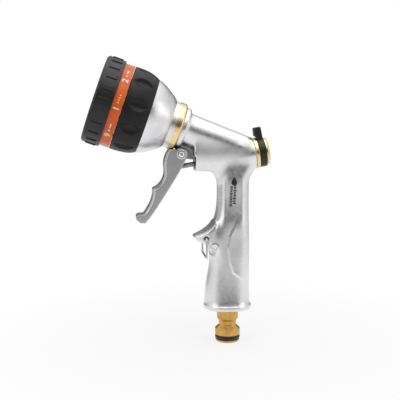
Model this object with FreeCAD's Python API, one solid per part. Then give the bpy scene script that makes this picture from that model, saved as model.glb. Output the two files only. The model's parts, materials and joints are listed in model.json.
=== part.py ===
import FreeCAD, Part
import math
import os

# Metal hose spray nozzle: a pistol-shaped casting with a squeeze trigger, a rotating
# multi-pattern spray head, a rear flow knob, a wire bail that locks the trigger, and a
# quick-connect nose under the handle. Millimetres and degrees.
# Origin: centre of the nose's lower end. +Z runs up the handle, -X towards the spray head,
# and Y is the width, with the trigger and handle symmetric about Y = 0.

V = FreeCAD.Vector

# ---------------------------------------------------------------- driving sizes: main lines
NOSE_LENGTH = 23.4          # nose end to the underside of the handle's foot
HANDLE_LENGTH = 93.4        # foot underside to chin underside
CHIN_DEPTH = 11.2           # chin underside to the crossing of the barrel and valve lines
REAR_X = 17.6               # the two lines cross here, in the middle of the rear face
HEAD_TILT = 19.2            # the barrel rises towards the spray head
VALVE_TILT = 9.5            # the valve line rises towards the rear

# ---------------------------------------------------------------- clearances
THREAD_GAP = 0.05           # between a screwed or seated piece and its hole, radial
RUN_GAP = 0.06              # between a turning or sliding stem and its bearing, radial
BODY_GAP = 0.3              # between parts that move past each other

# ---------------------------------------------------------------- handle
GRIP_REAR = 14.1
GRIP_FRONT_TOP = -7.3
GRIP_FRONT_WAIST = -12.6
GRIP_FRONT_FOOT = -15.7
GRIP_HALF_TOP = 10.9
GRIP_HALF_FOOT = 14.4
GRIP_HALF_LOW = 13.3
GRIP_CORNER = 9.0
FOOT_CORNER = 13.4          # the handle is nearly round at its foot
WAIST_HALF = 9.3            # half-width where the handle runs into the barrel
FOOT_THICKNESS = 3.0
FOOT_LIP = 0.8              # the foot stands out this far beyond the handle
WATERWAY_R = 5.0
WATERWAY_TOP_X = 5.0

# ---------------------------------------------------------------- barrel, chin and valve chamber
BARREL_LENGTH = 48.9
BARREL_R_REAR = 9.0
BARREL_R_FRONT = 11.3
COLLAR_R = 14.1
COLLAR_LENGTH = 3.7
COLLAR_ROUND = 1.6
BARREL_BORE_R = 7.0
BARREL_BORE_START = 20.0
SPIGOT_R = 8.9
SPIGOT_LENGTH = 12.0
BOSS_R = 10.0               # round boss that carries the rear gland
BOSS_LENGTH = 12.0
CHIN_HALF = 10.0
CHIN_LOW_HALF = 7.6         # half-width at the chin's underside
CHIN_BLEND = 8.0            # round between the chin's underside and the handle
CHIN_BEHIND = 9.3           # chin's front face behind the trigger's pivot
CHAMBER_R = 7.5
CHAMBER_LENGTH = 22.5
GLAND_NECK_R = 8.5
GLAND_NECK_LENGTH = 3.5
FRONT_CHAMBER_R = 4.4
FRONT_CHAMBER_LENGTH = 4.5

# ---------------------------------------------------------------- trigger and its pivot
PIVOT_BEHIND = 5.727        # pivot behind the collar's front face, along the barrel
PIVOT_BELOW = 16.218        # pivot under the barrel's centre line
TRIGGER_HALF = 8.0
TRIGGER_WALL = 2.4
TRIGGER_BOSS_R = 4.3
TRIGGER_BEVEL = 1.5         # bevel along the trigger's front edges
TRIGGER_SCALE = 1.0         # length of the trigger's lever against its drawn outline
LUG_HALF = 4.8
WEB_DROP_PIVOT = 2.6        # the web joins the lug to the chin, this far below the pivot
WEB_DROP_CHIN = 4.1
PIN_R = 2.0
PIN_HEAD_R = 3.3
PIN_HEAD_LENGTH = 1.4
PIN_DIMPLE_R = 1.7          # punched hollow in each head
PIN_DIMPLE_DEPTH = 0.5
PIN_HEAD_ROUND = 0.7
RECESS_R = 10.8             # hollow under the barrel that the trigger's boss turns in
RECESS_AHEAD = 1.6
RECESS_DROP = 5.1
CAM_R = 2.0
CAM_ARM = 8.6               # pivot to the centre of the cam that pushes the valve stem
TRIGGER_STROKE = 44.0       # degrees from rest to fully squeezed

# ---------------------------------------------------------------- bail and its hook
BAIL_WIRE_R = 0.7
BAIL_HALF = 12.5            # mid-plane to the centre of a leg
BAIL_BEND_R = 1.8
BAIL_HOLE_R = 1.5
BAIL_AHEAD = 3.2            # bail axle in front of the handle's waist
BAIL_DROP = 44.5            # bail axle below the chin
HOOK_REACH = 7.4            # hook tip in front of the bail axle
HOOK_HALF = 9.4             # half-width at the bail's axle
HOOK_HALF_TIP = 5.0

# ---------------------------------------------------------------- valve stem
STEM_R = 1.65
SEAT_THICKNESS = 2.5
SEAT_HOLE_R = 3.8
POPPET_R = 5.5
POPPET_LENGTH = 2.0
POPPET_SEAL_LENGTH = 1.8
SPRING_WIRE_R = 0.35
SPRING_R = 4.4
SPRING_TURNS = 5
STEM_SEAL_MINOR = 0.85
STEM_SEAL_INSET = 1.5       # wall between the front chamber and the seal's pocket
STEM_GLAND_R = 4.0
STEM_GLAND_INSET = 1.0      # gland's outer end behind the chin's face

# ---------------------------------------------------------------- flow knob at the rear
REAR_GLAND_R = 10.3
REAR_GLAND_LENGTH = 2.3
REAR_GLAND_ROUND = 0.5
KNOB_R = 9.7
KNOB_LENGTH = 4.9
KNOB_ROUND = 0.6
KNOB_TAB_RISE = 7.2
KNOB_TAB_WIDTH = 6.5
KNOB_TAB_STEP = 0.9         # the tab's front face ahead of the disc's, just outside the gland
KNOB_TAB_LEAN = 0.6         # the same at the tab's tip
KNOB_TAB_ROUND = 0.6
FLOW_CAP_R = 9.4
FLOW_CAP_LENGTH = 2.1
FLOW_CAP_ROUND = 1.6
FLOW_CAP_SKIN = 1.0         # closed end of the cap
SPINDLE_R = 3.0
SPINDLE_FLAT = 2.3
THROTTLE_WALL = 1.0
THROTTLE_LENGTH = 13.0
THROTTLE_FLOOR = 1.4
FLOW_SEAL_MINOR = 0.8

# ---------------------------------------------------------------- spray head, back to front
NECK_SEAT_R = 13.0
BRASS_RING_R = 16.0
BRASS_RING_LENGTH = 4.5
BRASS_RING_ROUND = 1.6
NECK_R = 15.5
NECK_LENGTH = 3.1
BELL_LENGTH = 15.4
BELL_R = 25.0
BELL_WALL = 2.0
SLEEVE_LENGTH = 17.2
SLEEVE_R = 28.0
SLEEVE_SEAT_R = 23.6
DIMPLE_COUNT = 11
DIMPLE_LENGTH = 12.6
DIMPLE_WIDTH = 6.6
DIMPLE_DEPTH = 1.1
BAND_LENGTH = 6.4
BAND_R = 27.8
BAND_WALL = 0.9
BEZEL_LENGTH = 12.3
BEZEL_R = 29.0
BEZEL_BORE_R = 25.0
BEZEL_CHAMFER = 1.2
BLOCK_COUNT = 22
BLOCK_LENGTH = 7.0
BLOCK_WIDTH = 3.2
BLOCK_RISE = 0.6
BLOCK_ROUND = 0.45
LIP_DEPTH = 2.0             # spray face behind the bezel's front edge
FACE_THICKNESS = 3.0
PORT_PLATE_THICKNESS = 3.0
PORT_COUNT = 9
PORT_PITCH_R = 15.0
PORT_R = 2.6
HUB_R = 5.0
SCREW_R = 2.0
SCREW_HEAD_R = 3.6
SCREW_HEAD_LENGTH = 2.2
DISTRIBUTOR_THICKNESS = 5.0
PORT_SEAL_R = 4.6
PORT_SEAL_POCKET = 2.0
DETENT_R = 1.5
DETENT_PITCH_R = 19.0
DETENT_POCKET = 4.5          # depth of the click ball's pocket
DETENT_WIRE_R = 0.25
DETENT_TURNS = 2.25
DETENT_TRACK_DEPTH = 0.3     # the ball reaches this far into the port plate's track
SPIGOT_SEAL_MINOR = 0.95
SPIGOT_SEAL_INSET = 4.0     # seal's middle from the spigot's end

# ---------------------------------------------------------------- nose
NOSE_BORE_R = 4.6
NOSE_LAND_R = 8.5
NOSE_LIP_R = 8.15
NOSE_NECK_R = 5.95
NOSE_COLLAR_R = 7.25
NOSE_THREAD_R = 6.6
NOSE_THREAD_LENGTH = 10.0
NOSE_GROOVE_R = 5.6
NOSE_RING_ROUND = 1.5
NOSE_LIP_BEVEL = 0.6
NOSE_LIP_TOP = 1.5          # heights of the nose's rings above its lower end
NOSE_GROOVE_TOP = 4.8
NOSE_LAND_TOP = 8.9
NOSE_NECK_LOW = 11.4
NOSE_NECK_TOP = 14.1
NOSE_COLLAR_LOW = 16.2
NOSE_NECK_FILLET = 1.6
NOSE_COLLAR_FILLET = 1.0
WASHER_THICKNESS = 1.6
FILTER_LENGTH = 9.0
FILTER_WALL = 0.5

# ---------------------------------------------------------------- worked-out places
CHIN_Z = NOSE_LENGTH + HANDLE_LENGTH
REAR_Z = CHIN_Z + CHIN_DEPTH
BAIL_AXLE = V(GRIP_FRONT_WAIST - BAIL_AHEAD, 0, CHIN_Z - BAIL_DROP)
FOOT_TOP = NOSE_LENGTH + FOOT_THICKNESS
LUG_R = TRIGGER_BOSS_R
CHEEK_INNER = LUG_HALF + BODY_GAP

# local +Z along the barrel towards the spray face, local +X upwards
HEAD = FreeCAD.Placement(V(REAR_X, 0, REAR_Z), FreeCAD.Rotation(V(0, 1, 0), HEAD_TILT - 90))
# local +Z along the valve line towards the rear, local +X upwards
VALVE = FreeCAD.Placement(
    V(REAR_X, 0, REAR_Z),
    FreeCAD.Rotation(V(0, 1, 0), 90 - VALVE_TILT) * FreeCAD.Rotation(V(0, 0, 1), 180),
)

# stations along the barrel line, from the crossing point forward
COLLAR_FRONT = BARREL_LENGTH + COLLAR_LENGTH
PIVOT = HEAD.multVec(V(-PIVOT_BELOW, 0, COLLAR_FRONT - PIVOT_BEHIND))
RECESS = V(PIVOT.x - RECESS_AHEAD, 0, PIVOT.z - RECESS_DROP)
CHIN_FRONT_X = PIVOT.x + CHIN_BEHIND
BRASS_FRONT = COLLAR_FRONT + BRASS_RING_LENGTH
NECK_FRONT = BRASS_FRONT + NECK_LENGTH
BELL_FRONT = NECK_FRONT + BELL_LENGTH
SLEEVE_FRONT = BELL_FRONT + SLEEVE_LENGTH
ROTOR_BACK = SLEEVE_FRONT + BODY_GAP
BAND_FRONT = ROTOR_BACK + BAND_LENGTH
BEZEL_FRONT = BAND_FRONT + BEZEL_LENGTH
FACE_FRONT = BEZEL_FRONT - LIP_DEPTH
FACE_BACK = FACE_FRONT - FACE_THICKNESS
PLATE_FRONT = ROTOR_BACK + PORT_PLATE_THICKNESS

# stations along the valve line, negative towards the front
SEAT_FRONT = -CHAMBER_LENGTH
SEAT_REAR = SEAT_FRONT + SEAT_THICKNESS
FRONT_CHAMBER_END = SEAT_FRONT - FRONT_CHAMBER_LENGTH
SEAL_POCKET_REAR = FRONT_CHAMBER_END - STEM_SEAL_INSET
SEAL_POCKET_FRONT = SEAL_POCKET_REAR - 2 * STEM_SEAL_MINOR - 2 * THREAD_GAP
STEM_SEAL_OUTER = STEM_R + RUN_GAP + 2 * STEM_SEAL_MINOR
THROTTLE_REAR = -GLAND_NECK_LENGTH - BODY_GAP
THROTTLE_FRONT = THROTTLE_REAR - THROTTLE_LENGTH
THROTTLE_R = CHAMBER_R - BODY_GAP
CAP_REAR = REAR_GLAND_LENGTH + KNOB_LENGTH + FLOW_CAP_LENGTH


def axis_pair():
    """Unit vectors along the valve line (rearwards) and square to it (downwards)."""
    tilt = math.radians(VALVE_TILT)
    along = V(math.cos(tilt), 0, math.sin(tilt))
    down = V(math.sin(tilt), 0, -math.cos(tilt))
    return along, down


def cam_centre(turn):
    """Centre of the trigger's cam when the trigger has turned by so many degrees."""
    along, down = axis_pair()
    angle = math.radians(turn - TRIGGER_STROKE / 2)
    return PIVOT + down * (CAM_ARM * math.cos(angle)) + along * (CAM_ARM * math.sin(angle))


def valve_station(point):
    """Station of a point along the valve line."""
    along, _ = axis_pair()
    return (point - V(REAR_X, 0, REAR_Z)).dot(along)


STEM_FRONT = valve_station(cam_centre(0)) + CAM_R + RUN_GAP
CHIN_STATION = (RECESS.x + RECESS_R - REAR_X) / math.cos(math.radians(VALVE_TILT))


# ---------------------------------------------------------------- shape helpers
def disc(radius, start, end):
    """Cylinder about local Z from one station to another."""
    return Part.makeCylinder(radius, end - start, V(0, 0, start))


def ring(outer, inner, start, end):
    """Tube about local Z."""
    return disc(outer, start, end).cut(disc(inner, start - 1, end + 1))


def turned(points):
    """Solid of revolution about local Z from a closed outline of (radius, station) points."""
    corners = [V(radius, 0, station) for radius, station in points]
    return Part.Face(Part.makePolygon(corners + corners[:1])).revolve(V(), V(0, 0, 1), 360)


def curve(points):
    """Smooth edge through points in the XZ plane."""
    line = Part.BSplineCurve()
    line.interpolate([V(x, 0, z) for x, z in points])
    return line.toShape()


def lines(points):
    """Straight edges through points in the XZ plane."""
    corners = [V(x, 0, z) for x, z in points]
    return Part.makePolygon(corners).Edges


def slab(edges, half):
    """Solid between -half and +half in Y from a closed set of edges in the XZ plane."""
    wire = Part.Wire(Part.__sortEdges__(edges))
    face = Part.Face(wire)
    face.translate(V(0, -half, 0))
    return face.extrude(V(0, 2 * half, 0))


def across(radius, half, centre):
    """Cylinder along Y, centred on the mid-plane."""
    return Part.makeCylinder(radius, 2 * half, V(centre.x, -half, centre.z), V(0, 1, 0))


def circles(shape, radius, station=None):
    """Circular edges of one radius, and at one station where that is given."""
    found = []
    for edge in shape.Edges:
        if not isinstance(edge.Curve, Part.Circle) or abs(edge.Curve.Radius - radius) > 1e-4:
            continue
        if station is None or abs(edge.Curve.Center.z - station) < 1e-4:
            found.append(edge)
    return found


def around(shape, count, first=0.0):
    """Copies of a shape, evenly turned about local Z."""
    copies = []
    for index in range(count):
        copy = shape.copy()
        copy.rotate(V(), V(0, 0, 1), first + 360.0 * index / count)
        copies.append(copy)
    return copies


def o_ring(inner, minor, station):
    """Round-section ring about local Z with the given inner radius."""
    return Part.makeTorus(inner + minor, minor, V(0, 0, station))


def mix(low, high, share):
    """Value part of the way from low to high."""
    return low + (high - low) * share


def placed(shape, frame):
    """Copy of a shape moved from a local frame into the part's frame."""
    copy = shape.copy()
    copy.Placement = frame.multiply(copy.Placement)
    return copy


# ---------------------------------------------------------------- casting
def grip_section(height, front, rear, half, corner=GRIP_CORNER):
    """Level outline of the handle: a box with large round corners."""
    corner = min(corner, half - 0.5, (rear - front) / 2 - 0.5)
    box = Part.makeBox(rear - front, 2 * half, 1, V(front, -half, height))
    uprights = [e for e in box.Edges if abs(e.tangentAt(e.FirstParameter).z) > 0.9]
    rounded = box.makeFillet(corner, uprights)
    lowest = min(rounded.Faces, key=lambda f: f.CenterOfMass.z)
    return lowest.OuterWire


def handle():
    """Handle from the foot up into the barrel, lofted through level outlines."""
    hook = BAIL_AXLE.z
    rear_low = BOSS_R * math.cos(math.radians(VALVE_TILT))
    boss_bottom = REAR_Z - rear_low
    sections = [
        (FOOT_TOP - 0.5, GRIP_FRONT_FOOT - 0.3, GRIP_REAR + 1.0, GRIP_HALF_FOOT, FOOT_CORNER),
        (mix(FOOT_TOP, hook, 0.15), GRIP_FRONT_FOOT, GRIP_REAR + 0.6, GRIP_HALF_LOW, FOOT_CORNER),
        (mix(FOOT_TOP, hook, 0.5), mix(GRIP_FRONT_FOOT, GRIP_FRONT_WAIST, 0.8), GRIP_REAR + 0.3, 12.1, 10.5),
        (mix(FOOT_TOP, hook, 0.8), GRIP_FRONT_WAIST - 0.3, GRIP_REAR + 0.1, 11.7),
        (hook + 3, GRIP_FRONT_WAIST, GRIP_REAR, 11.5),
        (hook + 12, mix(GRIP_FRONT_WAIST, GRIP_FRONT_TOP, 0.6), GRIP_REAR - 0.2, 11.3),
        (hook + 22, GRIP_FRONT_TOP - 0.3, GRIP_REAR - 0.3, GRIP_HALF_TOP),
        (CHIN_Z - 12, GRIP_FRONT_TOP, GRIP_REAR - 0.3, GRIP_HALF_TOP),
        (CHIN_Z - 6, GRIP_FRONT_TOP, GRIP_REAR + 0.1, GRIP_HALF_TOP - 0.2),
        (CHIN_Z - 2, GRIP_FRONT_TOP - 0.4, GRIP_REAR + 2.1, mix(WAIST_HALF, GRIP_HALF_TOP, 0.5)),
        (boss_bottom + 2, GRIP_FRONT_TOP - 1.2, REAR_X + 2.0, WAIST_HALF),
        (REAR_Z - 2, GRIP_FRONT_TOP - 1.5, REAR_X + 2.0, WAIST_HALF + 0.2),
    ]
    return Part.makeLoft([grip_section(*row) for row in sections], True, False)


def foot():
    """Oval flange that ends the handle."""
    outline = grip_section(
        NOSE_LENGTH,
        GRIP_FRONT_FOOT - FOOT_LIP,
        GRIP_REAR + 1.0 + FOOT_LIP,
        GRIP_HALF_FOOT + FOOT_LIP,
        FOOT_CORNER + FOOT_LIP,
    )
    flange = Part.Face(outline).extrude(V(0, 0, FOOT_THICKNESS))
    rims = [e for e in flange.Edges if abs(e.tangentAt(e.FirstParameter).z) < 0.1]
    return flange.makeFillet(FOOT_LIP * 0.6, rims)


def barrel():
    """Tapered barrel with the collar that the spray head seats on."""
    body = Part.makeCone(BARREL_R_REAR, BARREL_R_FRONT, BARREL_LENGTH + 6, V(0, 0, -6))
    collar = disc(COLLAR_R, BARREL_LENGTH, COLLAR_FRONT)
    collar = collar.makeFillet(COLLAR_ROUND, circles(collar, COLLAR_R, BARREL_LENGTH))
    return placed(body.fuse(collar), HEAD)


def chin():
    """Block under the barrel that carries the stem gland, with its scooped front."""
    top = REAR_Z + (REAR_X - RECESS.x) * math.tan(math.radians(HEAD_TILT)) * 0.75
    rear = REAR_X - 8
    blend = CHIN_BLEND
    outline = lines(
        [
            (GRIP_FRONT_TOP, CHIN_Z - blend),
            (rear, CHIN_Z - blend),
            (rear, top - 8),
            (RECESS.x, top),
            (RECESS.x, CHIN_Z + 0.5),
            (GRIP_FRONT_TOP - blend, CHIN_Z),
        ]
    )
    outline.append(
        Part.Arc(
            V(GRIP_FRONT_TOP - blend, 0, CHIN_Z),
            V(GRIP_FRONT_TOP - blend * 0.29, 0, CHIN_Z - blend * 0.29),
            V(GRIP_FRONT_TOP, 0, CHIN_Z - blend),
        ).toShape()
    )
    block = slab(outline, CHIN_HALF)
    profile = [
        (CHIN_LOW_HALF - 0.4, CHIN_Z - blend),
        (CHIN_LOW_HALF, CHIN_Z),
        (mix(CHIN_LOW_HALF, CHIN_HALF, 0.72), CHIN_Z + CHIN_DEPTH / 2),
        (CHIN_HALF, CHIN_Z + CHIN_DEPTH),
        (CHIN_HALF, top + 1),
    ]
    flanks = []
    for side in (1, -1):
        flank = Part.BSplineCurve()
        flank.interpolate([V(CHIN_FRONT_X - 1, side * half, height) for half, height in profile])
        flanks.append(flank)
    right, left = flanks
    lid = Part.LineSegment(right.EndPoint, left.EndPoint)
    base = Part.LineSegment(left.StartPoint, right.StartPoint)
    end_view = Part.Wire(Part.__sortEdges__([part.toShape() for part in (right, lid, left, base)]))
    block = block.common(Part.Face(end_view).extrude(V(60, 0, 0)))
    front_cut = Part.makeBox(30, 60, CHIN_DEPTH, V(CHIN_FRONT_X - 30, -30, CHIN_Z - 1))
    return block.cut(across(RECESS_R, 30, RECESS)).cut(front_cut)


def hook():
    """Spur on the handle's front that stops the fingers and holds the bail."""
    root = BAIL_AXLE.x + 6.6
    tip = BAIL_AXLE.x - HOOK_REACH
    level = BAIL_AXLE.z
    upper = curve(
        [(root, level + 12), (root - 4.2, level + 6.0), (tip + 4.6, level + 3.0), (tip, level + 1.3)]
    )
    nose = Part.Arc(V(tip, 0, level + 1.3), V(tip - 0.7, 0, level + 0.3), V(tip, 0, level - 0.4)).toShape()
    lower = curve(
        [(tip, level - 0.4), (tip + 3.2, level - 3.0), (root - 3.2, level - 5.6), (root, level - 10)]
    )
    back = lines([(root, level - 10), (root, level + 12)])
    half = CHIN_HALF + 1
    spur = slab([upper, nose, lower] + back, half)
    plan = Part.makePolygon(
        [
            V(root + 1, -half, 0),
            V(BAIL_AXLE.x + 2.6, -half, 0),
            V(BAIL_AXLE.x - 1.5, -HOOK_HALF, 0),
            V(tip - 2, -HOOK_HALF_TIP, 0),
            V(tip - 2, HOOK_HALF_TIP, 0),
            V(BAIL_AXLE.x - 1.5, HOOK_HALF, 0),
            V(BAIL_AXLE.x + 2.6, half, 0),
            V(root + 1, half, 0),
            V(root + 1, -half, 0),
        ]
    )
    keep = Part.Face(plan).extrude(V(0, 0, 60))
    keep.translate(V(0, 0, level - 30))
    return spur.common(keep)


def lug():
    """Web under the barrel that the trigger turns on."""
    rise = 8 + BARREL_R_FRONT
    plate = Part.makeBox(2 * LUG_R, 2 * LUG_HALF, rise, V(PIVOT.x - LUG_R, -LUG_HALF, PIVOT.z))
    ahead = placed(disc(60, BARREL_LENGTH + COLLAR_LENGTH / 2, BEZEL_FRONT), HEAD)
    outline = lines(
        [
            (PIVOT.x, PIVOT.z - WEB_DROP_PIVOT),
            (CHIN_FRONT_X + 1, PIVOT.z - WEB_DROP_CHIN),
            (CHIN_FRONT_X + 1, PIVOT.z + BARREL_R_FRONT),
            (PIVOT.x, PIVOT.z + BARREL_R_FRONT),
            (PIVOT.x, PIVOT.z - WEB_DROP_PIVOT),
        ]
    )
    web = slab(outline, LUG_HALF)
    return plate.fuse([across(LUG_R, LUG_HALF, PIVOT), web]).cut(ahead)


def waterways():
    """Everything bored out of the casting."""
    bores = [
        disc(CHAMBER_R, SEAT_FRONT, 1),
        disc(GLAND_NECK_R, -GLAND_NECK_LENGTH, 1),
        disc(FRONT_CHAMBER_R, FRONT_CHAMBER_END, SEAT_FRONT + 0.1),
        disc(STEM_R + RUN_GAP * 2, SEAL_POCKET_REAR - 0.1, FRONT_CHAMBER_END + 0.1),
        disc(STEM_SEAL_OUTER, SEAL_POCKET_FRONT, SEAL_POCKET_REAR),
        disc(STEM_GLAND_R, CHIN_STATION - 6, SEAL_POCKET_FRONT),
    ]
    cuts = [placed(bore, VALVE) for bore in bores]
    cuts.append(placed(disc(BARREL_BORE_R, BARREL_BORE_START, BARREL_LENGTH), HEAD))
    cuts.append(placed(disc(SPIGOT_R + THREAD_GAP, COLLAR_FRONT - SPIGOT_LENGTH - 1, COLLAR_FRONT + 1), HEAD))
    mouth = placed(Part.Vertex(V(0, 0, (SEAT_FRONT + FRONT_CHAMBER_END) / 2)), VALVE).Point
    roof = (REAR_X - mouth.x) * math.tan(math.radians(HEAD_TILT)) + REAR_Z
    cuts.append(Part.makeCylinder(FRONT_CHAMBER_R - 0.9, roof - mouth.z, mouth))
    foot_end = V(0, 0, NOSE_LENGTH + NOSE_THREAD_LENGTH)
    top_end = V(WATERWAY_TOP_X, 0, REAR_Z - CHAMBER_R)
    run = top_end - foot_end
    cuts.append(Part.makeCylinder(WATERWAY_R, run.Length, foot_end, run))
    socket_depth = NOSE_THREAD_LENGTH + WASHER_THICKNESS
    cuts.append(Part.makeCylinder(NOSE_THREAD_R + THREAD_GAP, socket_depth, V(0, 0, NOSE_LENGTH)))
    cuts.append(across(BAIL_HOLE_R, 30, BAIL_AXLE))
    cuts.append(across(PIN_R + THREAD_GAP, LUG_HALF + 1, PIVOT))
    return cuts


def body_casting():
    """The one-piece cast body."""
    boss = placed(disc(BOSS_R, -BOSS_LENGTH, 0), VALVE)
    solid = handle().fuse([foot(), boss, chin(), hook()])
    solid = solid.fuse([barrel(), lug()])
    rear_cut = placed(disc(60, 0, 60), VALVE)
    return solid.cut([rear_cut] + waterways()).removeSplitter()


# ---------------------------------------------------------------- nose
def inlet_nipple():
    """Turned nose with its hose-connector rings, screwed into the foot."""
    top = NOSE_LENGTH + NOSE_THREAD_LENGTH
    outline = [
        (NOSE_BORE_R, 0),
        (NOSE_LIP_R - NOSE_LIP_BEVEL, 0),
        (NOSE_LIP_R, NOSE_LIP_BEVEL),
        (NOSE_LIP_R, NOSE_LIP_TOP),
        (NOSE_GROOVE_R, NOSE_LIP_TOP),
        (NOSE_GROOVE_R, NOSE_GROOVE_TOP),
        (NOSE_LAND_R, NOSE_GROOVE_TOP),
        (NOSE_LAND_R, NOSE_LAND_TOP),
        (NOSE_NECK_R, NOSE_NECK_LOW),
        (NOSE_NECK_R, NOSE_NECK_TOP),
        (NOSE_COLLAR_R, NOSE_COLLAR_LOW),
        (NOSE_COLLAR_R, NOSE_LENGTH),
        (NOSE_THREAD_R, NOSE_LENGTH),
        (NOSE_THREAD_R, top),
        (NOSE_BORE_R, top),
    ]
    nose = turned(outline)
    nose = nose.makeFillet(NOSE_NECK_FILLET, circles(nose, NOSE_NECK_R))
    return nose.makeFillet(NOSE_COLLAR_FILLET, circles(nose, NOSE_COLLAR_R, NOSE_COLLAR_LOW))


def nipple_o_ring():
    """Sealing ring in the nose's groove, squeezed to an oblong section."""
    band = ring(NOSE_LAND_R, NOSE_GROOVE_R, NOSE_LIP_TOP, NOSE_GROOVE_TOP)
    return band.makeFillet(NOSE_RING_ROUND, circles(band, NOSE_LAND_R))


def inlet_washer():
    """Flat washer between the nose and the bottom of its socket."""
    low = NOSE_LENGTH + NOSE_THREAD_LENGTH
    return ring(NOSE_THREAD_R, WATERWAY_R - 0.8, low, low + WASHER_THICKNESS)


def inlet_filter():
    """Cone-shaped strainer that stands on the washer's inner rim inside the waterway."""
    low = NOSE_LENGTH + NOSE_THREAD_LENGTH + WASHER_THICKNESS
    wide = WATERWAY_R - BODY_GAP - 0.3
    narrow = wide * 0.45
    top = low + FILTER_LENGTH
    return turned(
        [
            (wide - FILTER_WALL * 1.6, low),
            (wide, low),
            (wide, low + 1.0),
            (narrow, top),
            (0, top),
            (0, top - FILTER_WALL),
            (narrow - FILTER_WALL, top - FILTER_WALL),
            (wide - FILTER_WALL * 1.6, low + 1.0),
        ]
    )


# ---------------------------------------------------------------- valve
def valve_seat():
    """Brass seat ring with a raised lip that the poppet closes on."""
    lip = SEAT_HOLE_R + 0.7
    return turned(
        [
            (SEAT_HOLE_R, SEAT_FRONT),
            (CHAMBER_R - THREAD_GAP, SEAT_FRONT),
            (CHAMBER_R - THREAD_GAP, SEAT_REAR - 0.6),
            (lip, SEAT_REAR - 0.6),
            (lip, SEAT_REAR),
            (SEAT_HOLE_R, SEAT_REAR),
        ]
    )


def valve_stem():
    """Steel stem from the trigger's cam to the poppet."""
    rear = SEAT_REAR + RUN_GAP + POPPET_SEAL_LENGTH + POPPET_LENGTH + 1.6
    stem = disc(STEM_R, STEM_FRONT, rear)
    return stem.makeFillet(0.4, circles(stem, STEM_R, STEM_FRONT))


def poppet_seal():
    """Rubber face ring of the poppet."""
    start = SEAT_REAR + RUN_GAP
    return ring(POPPET_R, STEM_R, start, start + POPPET_SEAL_LENGTH)


def poppet():
    """Brass backing disc with a stub that centres the spring."""
    start = SEAT_REAR + RUN_GAP + POPPET_SEAL_LENGTH
    plate = disc(POPPET_R, start, start + POPPET_LENGTH)
    stub = disc(SPRING_R - SPRING_WIRE_R - 0.4, start + POPPET_LENGTH, start + POPPET_LENGTH + 1.2)
    return plate.fuse(stub).cut(disc(STEM_R, start - 1, start + POPPET_LENGTH + 2))


def valve_spring():
    """Closing spring between the poppet and the throttle's floor."""
    start = SEAT_REAR + RUN_GAP + POPPET_SEAL_LENGTH + POPPET_LENGTH + SPRING_WIRE_R + RUN_GAP
    end = THROTTLE_REAR - THROTTLE_FLOOR - SPRING_WIRE_R - BODY_GAP / 2
    pitch = (end - start) / SPRING_TURNS
    helix = Part.makeHelix(pitch, end - start, SPRING_R)
    section = Part.Wire(Part.makeCircle(SPRING_WIRE_R, V(SPRING_R, 0, 0), V(0, 1, 0)))
    coil = Part.Wire(helix.Edges).makePipeShell([section], True, True)
    coil.translate(V(0, 0, start))
    return coil


def stem_seal():
    """Ring that seals the stem in the chin."""
    middle = (SEAL_POCKET_FRONT + SEAL_POCKET_REAR) / 2
    return o_ring(STEM_R + RUN_GAP, STEM_SEAL_MINOR, middle)


def stem_gland():
    """Screwed bush in the chin that guides the stem and holds its seal."""
    return ring(
        STEM_GLAND_R - THREAD_GAP,
        STEM_R + RUN_GAP,
        CHIN_STATION + STEM_GLAND_INSET,
        SEAL_POCKET_FRONT,
    )


# ---------------------------------------------------------------- flow knob
def rear_gland():
    """Brass gland ring that closes the valve chamber and carries the spindle."""
    plate = disc(REAR_GLAND_R, 0, REAR_GLAND_LENGTH)
    plate = plate.makeFillet(REAR_GLAND_ROUND, circles(plate, REAR_GLAND_R))
    neck = disc(GLAND_NECK_R - THREAD_GAP, -GLAND_NECK_LENGTH, 0.5)
    bore = disc(SPINDLE_R + RUN_GAP, -GLAND_NECK_LENGTH - 1, REAR_GLAND_LENGTH + 1)
    middle = -GLAND_NECK_LENGTH / 2
    groove = disc(
        SPINDLE_R + RUN_GAP + 2 * FLOW_SEAL_MINOR,
        middle - FLOW_SEAL_MINOR - THREAD_GAP,
        middle + FLOW_SEAL_MINOR + THREAD_GAP,
    )
    return plate.fuse(neck).cut([bore, groove])


def spindle_seal():
    """Ring in the gland's groove around the spindle."""
    return o_ring(SPINDLE_R + RUN_GAP, FLOW_SEAL_MINOR, -GLAND_NECK_LENGTH / 2)


def knob_section(start, end):
    """Spindle stretch with the flat that drives the knob."""
    stretch = disc(SPINDLE_R, start, end)
    flat = Part.makeBox(4, 20, end - start + 2, V(SPINDLE_FLAT, -10, start - 1))
    return stretch.cut(flat)


def flow_spindle():
    """Spindle with the cup-shaped throttle that turns over the handle's waterway."""
    cup = ring(THROTTLE_R, THROTTLE_R - THROTTLE_WALL, THROTTLE_FRONT, THROTTLE_REAR)
    floor = disc(THROTTLE_R, THROTTLE_REAR - THROTTLE_FLOOR, THROTTLE_REAR)
    round_part = disc(SPINDLE_R, THROTTLE_REAR - 0.2, REAR_GLAND_LENGTH + BODY_GAP)
    driven = knob_section(REAR_GLAND_LENGTH + BODY_GAP, CAP_REAR - FLOW_CAP_SKIN)
    spindle = cup.fuse([floor, round_part, driven])
    inlet_station = valve_station(V(WATERWAY_TOP_X, 0, REAR_Z - CHAMBER_R))
    window = Part.makeCylinder(WATERWAY_R, CHAMBER_R + 2, V(0, 0, inlet_station), V(-1, 0, 0))
    return spindle.cut(window)


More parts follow.
